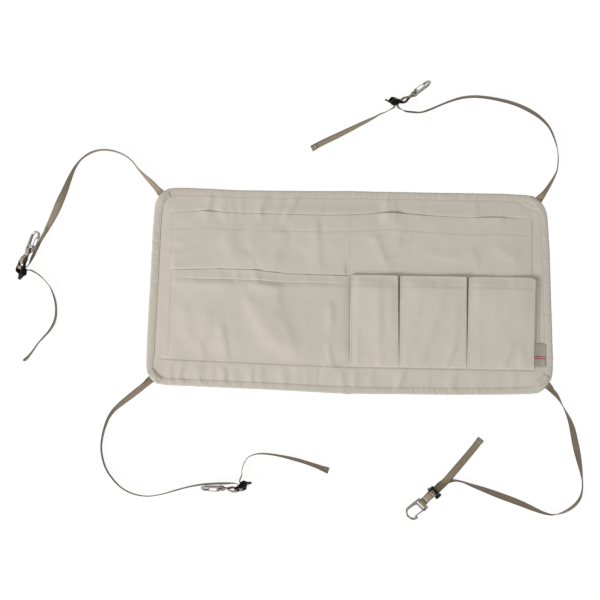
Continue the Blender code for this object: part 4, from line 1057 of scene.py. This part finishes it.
# %% Bellows pocket
def bellows_pocket(name, low, high, heights, bulge, folds, outer=False):
    """heights are those at the foot's two ends and at the mouth's, from left to right."""
    wide, crease = high - low, TALL - BELLOWS_HEM
    inset, offset, share_up, u, front = bellows_section(wide, outer)
    side, from_right = np.clip(inset / wide, 0, 1), np.maximum(wide - inset, 0)
    foot = foot_y(low + inset) - 0.4
    mouth = (bellows_mouth(low + inset) - 1.6 * np.exp(-inset / 5)
             - (4.5 if outer else 1.2) * np.exp(-from_right / 6))
    rows = add_steps([0.0, 0.25, 0.7, 1.6, 3.0, 8.0, crease - 3, crease - 1.2, crease, crease + 1.2,
                      crease + 3, TALL - 1.2, TALL])[:, None]
    tucked = np.interp(rows, [0, 0.7, 1.6, 3.0, 8.0, 16.0], [0.12, 0.35, 0.5, 0.65, 0.88, 1.0])
    climb = rows / TALL
    y = foot + (mouth - foot) * climb
    spread = 0.15 + 0.95 * (1 - climb)
    x = low + inset + lean(low + inset, y) - spread * np.exp(-inset / 3.0)
    if not outer:
        x = x + spread * np.exp(-from_right / 3.0)
    at_foot, at_mouth = (a + (b - a) * side for a, b in (heights[:2], heights[2:]))
    leaning = ease(climb, 0.84, 1.0) * np.sin(math.pi * side) ** 0.5
    tall = (at_foot + (at_mouth - at_foot) * climb ** 0.6) * (1 - 0.6 * leaning) * tucked
    relief = bellows_relief(x, y, inset, wide, climb, leaning, mouth - y, y - foot, bulge, folds)
    pressed = -0.5 * ease(y - foot, 12.0, 3.0) * (inset > wide)
    z = FRONT_LEVEL + CLOTH / 2 + shared_lie(x, y) + offset + share_up * tall + relief + pressed
    grid, uv = np.stack([x, y, z], axis=2), np.stack(np.broadcast_arrays(u, y), axis=2)
    hem = grid_mesh(name + "_hem", *bellows_hem(grid[:, front], uv[:, front]))
    piece = add_piece(name, welded(grid_mesh(name, grid, uv), hem), CANVAS_FINISH)
    return apply_modifier(piece, "SOLIDIFY", thickness=CLOTH * MM, offset=0.0)


# Each is the heights, the bulge below the mouth, and the folds.
BELLOWS_SHAPES = {
    "left": ((1.8, 1.6, 5.0, 7.8), 2.6, [
        ((14, 50), (13, -46), (6, 6), 0.8), ((16, -56), (18, -172), (8, 5), 1.0),
        ((57, 50), (62, -172), (14, 7), 1.3), ((76, -92), (60, -166), (7, 5), 0.7),
        ((86, 44), (86, -96), (5, 8), 0.4)]),
    "middle": ((1.8, 1.6, 4.9, 7.8), 3.0, [
        ((190, 10), (134, -172), (17, 9), 1.2), ((218, -82), (188, -170), (10, 5), 1.3),
        ((116, -98), (117, -172), (8, 4.5), 0.7), ((180, 50), (184, 8), (7, 5), 0.6),
        ((198, 50), (186, 4), (7, 5), 0.6), ((212, 4), (213, -96), (9, 7), 0.5),
        ((140, 30), (136, -60), (14, 10), 0.5)]),
    "right": ((1.8, 1.6, 5.0, 5.2), 2.8, [
        ((264, -90), (264, -172), (8, 5), 0.6), ((334, -88), (298, -170), (9, 6), 1.0),
        ((344, -96), (354, -168), (7, 9), 0.7), ((330, 50), (326, 12), (6, 5), 0.5),
        ((262, 30), (256, -110), (12, 9), 0.4)]),
}
bellows = {}
for side, shape in BELLOWS_SHAPES.items():
    piece = bellows_pocket(f"canvas_bellows_{side}", *BELLOWS[side], *shape, outer=side == "right")
    bellows[side] = piece
    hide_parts(f"bellows_pocket_{side}")
    print("bellows", side, "faces", len(piece.data.polygons))

# %% [markdown]
# ## Corner patches
# Where a strap is sewn to the panel, a strip of canvas covers the stitching. Each was put on by hand
# and so has an angle of its own.

# %% Patches
# The place of its middle, its angle, how long and deep it is, and how much of the edge's bend it follows.
PATCHES = {
    "top_left": (-375.8, 182.6, 33.0, 28.0, 11.5, 1.0), "top_right": (378.0, 181.8, -44.0, 24.0, 11.0, 0.8),
    "bottom_left": (-388.2, -176.0, -44.0, 32.0, 13.0, 0.35),
    "bottom_right": (389.5, -166.0, 44.0, 30.0, 15.0, 0.3),
}
PATCH_LEVEL, PATCH_THICKNESS = 3.9, 1.1
PULLED_EDGE = pulled_line(edge_line)


def from_edge(x, y):
    """How far points are inside the panel's edge."""
    return np.hypot(x[..., None] - PULLED_EDGE[:, 0], y[..., None] - PULLED_EDGE[:, 1]).min(axis=-1)


def on_patch(corner, across, up):
    """Where a point of a corner patch lands: straight, or bent along the panel's edge."""
    x0, y0, angle, _, _, bent = PATCHES[corner]
    a = math.radians(angle)
    away = np.hypot(*(PULLED_EDGE - [x0, y0]).T)
    middle = away.argmin()
    way = np.sign(EDGE_INWARD[middle] @ [-math.sin(a), math.cos(a)])
    at = middle + way * across / EDGE_RUN[1]
    low = np.floor(at).astype(int)
    share = (at - low)[..., None]
    on_edge, inward = (line[low % EDGE_COUNT] * (1 - share) + line[(low + 1) % EDGE_COUNT] * share
                       for line in (edge_line, EDGE_INWARD))
    inset = away[middle] + way * up
    bent_x, bent_y = pulled(*np.moveaxis(on_edge + inward * inset[..., None], -1, 0))
    x = (x0 + across * math.cos(a) - up * math.sin(a)) * (1 - bent) + bent_x * bent
    y = (y0 + across * math.sin(a) + up * math.cos(a)) * (1 - bent) + bent_y * bent
    return x, y


def make_patch(corner):
    long, deep = PATCHES[corner][3:5]
    rims = np.array([0, 0.15, 0.6, 1.2, 2.4])
    across, up = np.meshgrid(*(add_steps([*(rims - size / 2), *(size / 2 - rims[::-1])], 1.3)
                               for size in (long, deep)))
    x, y = on_patch(corner, across, up)
    inset = from_edge(x, y)
    rim = np.minimum(long / 2 - np.abs(across), deep / 2 - np.abs(up))
    z = PATCH_LEVEL + shared_lie(x, y) - 1.2 * ease(inset, 9.5, 18.0) - 0.5 * ease(inset, 10.5, 15.0)
    z = z - 0.5 * hump(rim - 2.0, 0.7) - 0.3 * ease(rim, 0.5, 0.0) + 0.35 * drift(x, y, 7, 71)
    patch = add_cloth(f"canvas_patch_{corner}", np.stack([x, y, z], axis=2), np.stack([across, up], axis=2),
                      BINDING_FINISH, PATCH_THICKNESS)
    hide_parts(f"corner_tab_{corner}")
    return patch


patches = {corner: make_patch(corner) for corner in CORNERS}
print("patches", [len(patch.data.polygons) for patch in patches.values()])

# %% [markdown]
# ## Laying things on the cloth
# Thread and the label lie on cloth whose height is not written down anywhere. A ray from above finds
# it: the highest of the pieces at a place, and the way the cloth faces there.

# %% Ray from above
RAY_HEIGHT, HEIGHT_OF_NOTHING = 60.0, 3.0


def ray_tree(pieces):
    """One search tree of several pieces, whose own places are the frame's origin."""
    points, faces = [], []
    for piece in pieces:
        first = len(points)
        points += [v.co.copy() for v in piece.data.vertices]
        faces += [[first + i for i in face.vertices] for face in piece.data.polygons]
    return BVHTree.FromPolygons(points, faces)


def look_down(tree, x, y):
    """Points in millimetres on the cloth under each x and y, and the way it faces there."""
    points, facing = [], []
    for px, py in zip(np.ravel(x), np.ravel(y)):
        hit, normal, _, _ = tree.ray_cast(Vector((px * MM, py * MM, RAY_HEIGHT * MM)), Vector((0, 0, -1)))
        points.append(np.array(hit) / MM if hit else (px, py, HEIGHT_OF_NOTHING))
        facing.append(np.array(normal) * (1 if normal.z > 0 else -1) if hit else (0, 0, 1))
    return np.array(points), np.array(facing)


cloth_tree = ray_tree([panel, binding, back_pocket, left_pocket, *bellows.values(), *patches.values()])
print("cloth under the label's edge is", look_down(cloth_tree, 380.0, -115.0)[0][0, 2].round(2), "mm up")

# %% [markdown]
# ## Side label
# A folded ribbon label is caught in the last pocket's seam and bends down over the pleat. It is left
# blank but for two thin red stripes, such as any webbing mill weaves in.

# %% Label
RED_STRIPES = (15.6, 19.6)


def woven_label():
    """Satin ribbon: finer and smoother than canvas, so it has a soft gloss along its threads."""
    material, node = new_finish("woven_ribbon_label")
    place = node("UVMap", uv_map="cloth")
    axes = node("SeparateXYZ", place).outputs
    fibres = node("TexNoise", place, Scale=1800.0, Detail=2.0)
    relief = node("Math", wave(node, axes["X"], 0.7), fibres.outputs["Fac"], operation="ADD")
    colour = linear("#A19D8F")
    for middle in RED_STRIPES:
        off = node("Math", axes["Y"], middle * MM, operation="SUBTRACT")
        away = node("Math", off, operation="ABSOLUTE")
        stripe = node("MapRange", away, 0.8 * MM, 1.0 * MM, 1.0, 0.0)
        colour = node("MixRGB", stripe, colour, linear("#A92A2C"))
    surface(node, colour, relief, 0.35, 0.08, Roughness=0.62, Sheen_Weight=0.05, Specular_IOR_Level=0.3)
    return material


LABEL_FINISH = woven_label()
LABEL_LONG, LABEL_WIDE, LABEL_TOP = 45.0, 23.4, -92.6


def make_label():
    """From the pocket's front edge, down over the pleat and past it, with one corner turned up."""
    run = add_steps([0.0, 0.2, 1.0, 10.0, LABEL_WIDE - 0.8, LABEL_WIDE - 0.2, LABEL_WIDE], 1.5)
    rows = add_steps([0.0, 0.2, 0.8, LABEL_LONG - 0.8, LABEL_LONG - 0.2, LABEL_LONG], 1.6)
    s, t = np.meshgrid(run, rows)
    y = LABEL_TOP - t - 0.03 * s
    x = np.interp(s, [0, 2, 11, LABEL_WIDE], [373.0, 375.0, 384.0, 396.2])
    under = look_down(cloth_tree, x, y)[0][:, 2].reshape(x.shape)
    lowest = np.interp(run, [0, 4, 12, LABEL_WIDE], [0.0, -0.5, -2.4, -4.0]) + under[:, 0].mean()
    z = np.maximum(lowest, np.maximum.accumulate(under[:, ::-1], axis=1)[:, ::-1] + 0.2) + 0.55
    soft = np.ones(5) / 5
    z = np.array([np.convolve(np.pad(row, 2, mode="edge"), soft, "valid") for row in z]) + 0.15
    z = z + 1.0 * ease(s, 14, 23) * ease(t, 32, 44) + 0.2 * np.sin(t / 9.0 + s / 6.0)
    label = add_cloth("ribbon_label", np.stack([x, y, z], axis=2), np.stack([s, LABEL_LONG - t], axis=2),
                      LABEL_FINISH, 0.6, slot="label_cloth")
    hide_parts("side_label")
    return label


label = make_label()
print("label faces", len(label.data.polygons))

# %% [markdown]
# ## Stitches
# Every seam is a lockstitch of cotton thread, about eight stitches to the inch. The thread is painted a
# little darker than the canvas, as painted shade for the dimples it sits in. One stitch is modelled: a ball
# is drawn out to a short, slightly flat capsule. All the others are copies of it, laid end to end along
# the seams, each turned to its seam and to the cloth under it.

# %% Thread finish
PLY_GAP = 0.35


def thread_finish(name, dark, light):
    """Spun cotton: two twisted plies, so fine slanting lines, and a trace of loose fibre."""
    material, node = new_finish(name)
    place = node("TexCoord").outputs["Object"]
    axes = node("SeparateXYZ", place).outputs
    ply = wave(node, node("Math", axes["X"], axes["Y"], operation="ADD"), PLY_GAP)
    fibres = node("TexNoise", place, Scale=2400.0, Detail=2.0)
    relief = node("Math", ply, fibres.outputs["Fac"], operation="ADD")
    uneven = node("TexNoise", place, Scale=140.0, Detail=2.0)
    colour = node("MixRGB", uneven.outputs["Fac"], linear(dark), linear(light))
    surface(node, colour, relief, 0.4, 0.06, Roughness=0.8, Sheen_Weight=0.1, Specular_IOR_Level=0.25)
    return material


# The seam thread is painted darker than the canvas: painted shade for the dimples of the stitches.
SHADED_SEAM_THREAD = thread_finish("cotton_thread_with_painted_shade", "#B3AC9F", "#C3BCAF")
TACK_THREAD = thread_finish("pale_polyester_thread", "#DCD8CD", "#ECE9E0")
print("threads", SHADED_SEAM_THREAD.name, "and", TACK_THREAD.name)

# %% One stitch
def model_stitch():
    """A capsule 2.3 mm long lying along X, with its underside cut a little flat."""
    bpy.ops.object.select_all(action="DESELECT")
    bpy.ops.mesh.primitive_uv_sphere_add(segments=6, ring_count=5, radius=1.0, location=(0, 0, 0),
                                         rotation=(0, math.pi / 2, 0))
    stitch = bpy.context.object
    bpy.ops.object.transform_apply(location=False, rotation=True, scale=False)
    bpy.ops.object.mode_set(mode="EDIT")
    bpy.ops.mesh.select_all(action="SELECT")
    bpy.ops.transform.resize(value=(1.15, 0.26, 0.24), center_override=(0, 0, 0))
    bpy.ops.object.mode_set(mode="OBJECT")
    points = np.array([v.co for v in stitch.data.vertices])
    faces = [list(face.vertices) for face in stitch.data.polygons]
    points[:, 2] = np.maximum(points[:, 2], -0.12)
    bpy.data.objects.remove(stitch)
    return points, faces


STITCH_POINTS, STITCH_FACES = model_stitch()
print("one stitch has", len(STITCH_FACES), "faces")

# %% Sewing
STITCH_GAP = 3.1


def sew(name, centres, ahead, up, material=SHADED_SEAM_THREAD, body="pocket_panel", long=1.0, thick=1.0):
    """Copies of the stitch at the centres, in millimetres, each lying along its own direction."""
    ahead = unit(ahead - up * (ahead * up).sum(axis=1)[:, None])
    basis = np.stack([ahead * long, np.cross(up, ahead) * thick, up * thick], axis=2)
    points = np.einsum("nij,vj->nvi", basis, STITCH_POINTS) + centres[:, None]
    count = len(STITCH_POINTS)
    faces = [[k * count + i for i in face] for k in range(len(centres)) for face in STITCH_FACES]
    mesh = bpy.data.meshes.new(name)
    mesh.from_pydata((points.reshape(-1, 3) * MM).tolist(), [], faces)
    mesh.shade_smooth()
    return add_piece(name, mesh, material, body)


def along(points, gap, closed):
    """Evenly spaced places on a line, and its direction at each."""
    if closed:
        points = np.concatenate([points, points[:1]])
    run = run_along(points)
    at = np.arange(gap / 2, run[-1] - gap / 3, gap)
    place, ahead_of = (np.stack([np.interp(spot, run, line) for line in points.T], axis=1)
                       for spot in (at, at + 0.5))
    return place, ahead_of - place


def sew_on_cloth(name, lines, gap=STITCH_GAP, closed=False, slack=0.0):
    """Stitches along lines of x and y, laid on whatever cloth is highest there."""
    places, courses = zip(*(along(line, gap, closed) for line in lines))
    place, course = np.concatenate(places), np.concatenate(courses)
    place = place + slack * np.random.default_rng(len(place)).uniform(-1, 1, place.shape)
    points, facing = look_down(cloth_tree, place[:, 0], place[:, 1])
    ahead = np.concatenate([course, np.zeros((len(course), 1))], axis=1)
    return sew(name, points + 0.1 * facing, ahead, facing)


print("stitches are", STITCH_GAP, "mm apart")

# %% Seams
def down(x_for, top, foot, inset=0.0):
    y = np.linspace(top, foot, int(abs(top - foot) / 5.0) + 2)
    return np.stack([x_for(y) + inset, y], axis=1)


def level(x_low, x_high, y_for):
    x = np.linspace(x_low, x_high, int((x_high - x_low) / 5.0) + 2)
    return np.stack([x, y_for(x)], axis=1)


LOOSE = 0.1
binding_seam = pulled_line(edge_line + EDGE_INWARD * 11.5 * BINDING_WIDER)
seams = [sew_on_cloth("thread_binding", [binding_seam], closed=True, slack=0.12)]
seams.append(sew_on_cloth("thread_back_pocket", [
    down(back_left, 151.0, 40.0, 2.4), down(back_left, 30.0, -136.0, 6.5),
    down(back_right, 154.0, 42.0, -2.2),
    level(-356, 356, lambda x: back_mouth_y(x) - BACK_HEM - 0.2),
    down(lambda y: 0 * y - 1.5, 153.0, 40.0), down(lambda y: 0 * y + 372.5, 30.0, -84.0)], slack=LOOSE))
seams.append(sew_on_cloth("thread_left_pocket", [
    down(left_left, 35.0, -137.5, 2.2), level(-362, -3, lambda x: foot_y(x) + 2.4),
    level(-357, -5, lambda x: left_mouth_y(x) - left_hem(x) - 1.4),
    down(left_right, 31.0, -142.0, -2.3)], slack=LOOSE))
lines = []
for low_x, high_x in BELLOWS.values():
    for x_edge, inset in ((low_x, 2.6), (high_x, -2.6)):
        lines.append(down(lambda y: x_edge + lean(x_edge, y), bellows_mouth(x_edge) - 3.0,
                          foot_y(x_edge) + 5.0, inset))
    lines.append(level(low_x + 4, high_x - 6, lambda x: bellows_mouth(x) - BELLOWS_HEM) + [-2.5, 0])
    lines.append(level(low_x + 4, high_x - 4, lambda x: foot_y(x) + 2.6))
seams.append(sew_on_cloth("thread_bellows", lines, slack=LOOSE))
# A box with a cross in it, as (across, up) in halves of the patch.
BOX = np.array([(-1, -1), (0, -1), (1, -1), (1, 1), (0, 1), (-1, 1), (-1, -1), (1, 1), (1, -1), (-1, 1)])
lines = []
for corner in CORNERS:
    long, deep = PATCHES[corner][3:5]
    box = BOX * [long / 2 - 2.2, deep / 2 - 2.0]
    lines.append(np.stack(on_patch(corner, *box.T), axis=1))
seams.append(sew_on_cloth("thread_patches", lines, gap=2.6))
print("stitches", sum(len(piece.data.polygons) for piece in seams) // len(STITCH_FACES))

# %% [markdown]
# ## Where the hardware lies
# A buckle, its sewn loop and its hook hang together in one line. Their places come from the same few
# numbers for each corner: where the buckle's fixed bar is, which way the set points, how far it is
# tipped over, and how far buckle and hook turn on their bars.

# %% Hardware frames
HARDWARE = {
    "top_left": {"bar": (-656.7, 44.9, 18.865), "heading": 63.8, "tip": 40.0, "dip": 8.0,
                 "buckle": -19.3, "hook": -5.7, "gate_side": -1},
    "top_right": {"bar": (94.2, 386.1, 13.433), "heading": 32.9, "tip": 20.0, "dip": -2.0,
                  "buckle": 39.3, "hook": -7.7, "gate_side": 1},
    "bottom_left": {"bar": (-219.4, -399.3, 17.067), "heading": 175.0, "tip": 22.0, "dip": 4.0,
                    "buckle": -30.0, "hook": -7.9, "gate_side": 1},
    "bottom_right": {"bar": (175.5, -397.0, 4.847), "heading": -133.5, "tip": 90.0, "dip": 0.0,
                     "buckle": 82.0, "hook": 0.0, "gate_side": 1},
}
LOOP_LENGTH, LOOP_THICKNESS = 29.0, 1.2


def turn(angle, axis):
    return Matrix.Rotation(math.radians(angle), 4, axis)


def hardware_frames(corner):
    """Frames in millimetres: X from the buckle's fixed bar to the hook, Y along the bars."""
    layout = HARDWARE[corner]
    heading, tip, dip = (math.radians(layout[key]) for key in ("heading", "tip", "dip"))
    ahead = Vector((math.cos(heading), math.sin(heading), 0))
    along = ahead * math.cos(dip) - Vector((0, 0, math.sin(dip)))
    sideways = Vector((-ahead.y, ahead.x, 0))
    across = sideways * math.cos(tip) + sideways.cross(along) * -math.sin(tip)
    loop = Matrix((along, across.cross(along), across)).transposed().to_4x4()
    loop.translation = Vector(layout["bar"])
    hook = (loop @ Matrix.Translation((LOOP_LENGTH, 0, 0)) @ turn(layout["hook"], "Y")
            @ turn(0 if layout["gate_side"] > 0 else 180, "X"))
    return {"loop": loop, "buckle": loop @ turn(180 + layout["buckle"], "Y"), "hook": hook}


FRAMES = {corner: hardware_frames(corner) for corner in CORNERS}
for corner in CORNERS:
    low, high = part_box(f"snap_hook_{corner}")
    middle = [(a + b) / 2 / MM for a, b in zip(low, high)]
    print(corner, "hook's box centre", [round(v) for v in middle],
          "frame", [round(v) for v in FRAMES[corner]["hook"].translation])

# %% [markdown]
# ## Sewn loops and the turn inside the buckle
# A short loop of the same webbing joins each buckle to its hook: it goes round the buckle's fixed bar
# and the hook's end bar, and both layers are sewn together between them. Inside the buckle the strap
# turns once round the middle bar, which is what makes a ladder lock grip.

# %% Bent webbing
# smooth_course keeps tape off the floor, so a line that has nothing to do with it is lifted clear first.
WELL_UP = 1000.0


def rounded_line(points, step=0.8):
    """A smooth line through flat points, with the same rule as the straps' course."""
    course = smooth_course([(x, 0.0, z + WELL_UP, 0.0) for x, z in points], step)
    return np.stack([course[:, 0], course[:, 2] - WELL_UP], axis=1)


def loop_line():
    """Round the hook's end bar, through the tack, round the buckle's fixed bar, and back."""
    half = [(20.0, 0.68), (22.4, 1.1), (25.0, 2.75)] + arc(LOOP_LENGTH, 0, 3.9, 115, 0, 8)
    hook_half = half + [(x, -z) for x, z in half[::-1][1:]]
    bar_half = [(17.6, -0.68), (12.5, -2.2), (6.6, -4.15), (2.6, -3.7)] + arc(0, 0, 2.72, -110, -180, 6)
    bar_half += [(x, -z) for x, z in bar_half[::-1][1:]]
    return rounded_line(hook_half + bar_half + [hook_half[0]])[:-1]


def wrap_line():
    near, far, low = 7.95, 14.05, -3.85
    return rounded_line([(near, 5.0), (near, 1.0), (near, -1.9), (8.5, -3.2), (9.9, low), (12.1, low),
                         (13.5, -3.2), (far, -1.9), (far, 2.0), (far, 9.3)])


def bent_webbing(name, line, place, body, closed=False, thickness=WEBBING_THICKNESS):
    """Tape along a line of x and z in a hardware frame, with its width along Y."""
    step = np.roll(line, -1, axis=0) - np.roll(line, 1, axis=0) if closed else np.gradient(line, axis=0)
    ahead = unit(step)
    section = tape_section(thickness)
    x = line[:, :1] - ahead[:, 1:] * section[:, 1]
    z = line[:, 1:] + ahead[:, :1] * section[:, 1]
    rings = np.stack([x, np.broadcast_to(section[:, 0], x.shape), z], axis=2)
    mesh = grid_mesh(name, rings, tape_map(line, section), round_across=True, round_along=closed)
    place = place.copy()
    place.translation *= MM
    mesh.transform(place)
    outward(mesh, fill_ends=not closed)
    return add_piece(name, mesh, WEBBING_FINISH, body)


loops, wraps = {}, {}
for corner in CORNERS:
    loop = bent_webbing(f"webbing_loop_{corner}", loop_line(), FRAMES[corner]["loop"], f"loop_{corner}",
                        closed=True, thickness=LOOP_THICKNESS)
    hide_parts(f"hook_loop_{corner}")
    wrap = bent_webbing(f"webbing_wrap_{corner}", wrap_line(), FRAMES[corner]["buckle"], "pocket_panel")
    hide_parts(f"strap_wrap_{corner}")
    loops[corner], wraps[corner] = loop, wrap
print("loops and wraps for", len(CORNERS), "corners")

# %% Tacks and hemmed ends
HEM_POINTS, HEM_THICKNESS = 12, WEBBING_THICKNESS * 0.9


def hem_tail(corner):
    """The tail's last 11 mm, turned over once and sewn down with a row of pale thread."""
    course = smooth_course(TAILS[corner], 1.0)[-HEM_POINTS:]
    across, out = ribbon_axes(course)
    up = out * (1.0 if out[:, 2].mean() >= 0 else -1.0)
    course[:, :3] += up * (WEBBING_THICKNESS + 0.05)
    hem = make_ribbon(f"webbing_hem_{corner}", course, thickness=HEM_THICKNESS)
    rows = np.linspace(-WEBBING_WIDTH / 2 + 1.4, WEBBING_WIDTH / 2 - 1.4, 6)[:, None]
    centre = course[2, :3] + rows * across[2] + up[2] * WEBBING_THICKNESS * 0.5
    ones = np.ones_like(rows)
    thread = sew(f"thread_hem_{corner}", centre, ones * across[2], ones * up[2], TACK_THREAD,
                 long=1.1, thick=1.7)
    return hem, thread


def tack_loop(corner):
    """A bar tack through both layers of the loop: a dense row of pale stitches on either face."""
    spots = np.array([(18.4, y, face * 1.33) for face in (1, -1) for y in np.linspace(-5.6, 5.6, 11)])
    ups = np.sign(spots) * [0, 0, 1]
    turn_to = np.array(FRAMES[corner]["loop"].to_3x3())
    centres = spots @ turn_to.T + np.array(FRAMES[corner]["loop"].translation)
    ahead = np.tile(turn_to[:, 0], (len(spots), 1))
    return sew(f"thread_tack_{corner}", centres, ahead, ups @ turn_to.T, TACK_THREAD, f"loop_{corner}",
               long=1.3, thick=1.5)


hems, threads, tacks = {}, {}, {}
for corner in CORNERS:
    hems[corner], threads[corner] = hem_tail(corner)
    tacks[corner] = tack_loop(corner)
print("tacks and hems for", len(CORNERS), "corners")

# %% [markdown]
# ## What each strap carries
# Each strap is one length of webbing that ends in its buckle, with the loop and the hook on it. The tail
# is the same webbing's free end. Here the courses of both are smoothed again, and the straps' lengths are
# printed.

# %% Strap courses
def declare_cord(route):
    """Smooths a route into a course, and again at 20 mm steps; neither is kept."""
    course = smooth_course(route)
    (smooth_course(route, 20.0)[:, :3] * MM).tolist()


for corner in CORNERS:
    declare_cord(STRAPS[corner])
    declare_cord(TAILS[corner])
print("declared", [round(length_of(smooth_course(STRAPS[c])) * MM, 3) for c in CORNERS])

# %% [markdown]
# ## Hard finishes
# The buckles are black acetal, moulded with a fine satin texture. The hooks are cast alloy,
# tumbled until their edges are soft, which leaves a pale satin metal with tiny dents. The gates are
# drawn spring wire, a little darker and glossier than the hooks. These pieces keep their solids.
# Their patterns read Object coordinates, because the solids have no map of their own.

# %% Hard finishes
def moulded_acetal():
    """Black acetal: a low sheen, a fine spark texture from the mould, paler where it is rubbed."""
    material, node = new_finish("black_moulded_acetal")
    place = node("TexCoord").outputs["Object"]
    grain = node("TexNoise", place, Scale=2600.0, Detail=3.0).outputs["Fac"]
    rubbed = node("TexNoise", place, Scale=160.0, Detail=2.0).outputs["Fac"]
    colour = node("MixRGB", rubbed, linear("#080605"), linear("#12100D"))
    rough = node("MapRange", rubbed, To_Min=0.34, To_Max=0.5)
    surface(node, colour, grain, 0.3, 0.03, 0.3, Roughness=rough, IOR=1.48, Specular_IOR_Level=0.14)
    return material


def satin_metal(name, pale, dark, low, high):
    """Metal tumbled or drawn to a satin: gloss that changes a little over its surface."""
    material, node = new_finish(name)
    place = node("TexCoord").outputs["Object"]
    dents = node("TexNoise", place, Scale=900.0, Detail=3.0).outputs["Fac"]
    tarnish = node("TexNoise", place, Scale=120.0, Detail=3.0).outputs["Fac"]
    colour = node("MixRGB", tarnish, linear(dark), linear(pale))
    rough = node("MapRange", tarnish, To_Min=low, To_Max=high)
    surface(node, colour, dents, 0.25, 0.03, 0.4, Metallic=1.0, Roughness=rough)
    return material


BUCKLE_FINISH = moulded_acetal()
HOOK_FINISH = satin_metal("tumbled_cast_alloy", "#BDBBB3", "#8F8D85", 0.27, 0.42)
GATE_FINISH = satin_metal("drawn_spring_wire", "#B4B2AA", "#7C7A73", 0.22, 0.34)


def dress(node, material):
    """Gives a solid that stays a better material in each of its slots."""
    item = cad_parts[node]
    if not item.material_slots:
        item.data.materials.append(material)
    for place in item.material_slots:
        place.material = material


for corner in CORNERS:
    for part, finish in (("buckle", BUCKLE_FINISH), ("snap_hook", HOOK_FINISH), ("wire_gate", GATE_FINISH)):
        dress(f"{part}_{corner}", finish)
print("finishes", [m.name for m in (BUCKLE_FINISH, HOOK_FINISH, GATE_FINISH)])

# %% Sizes, and the end
low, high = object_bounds()
print("visual size in mm", [round((b - a) / MM) for a, b in zip(low, high)])
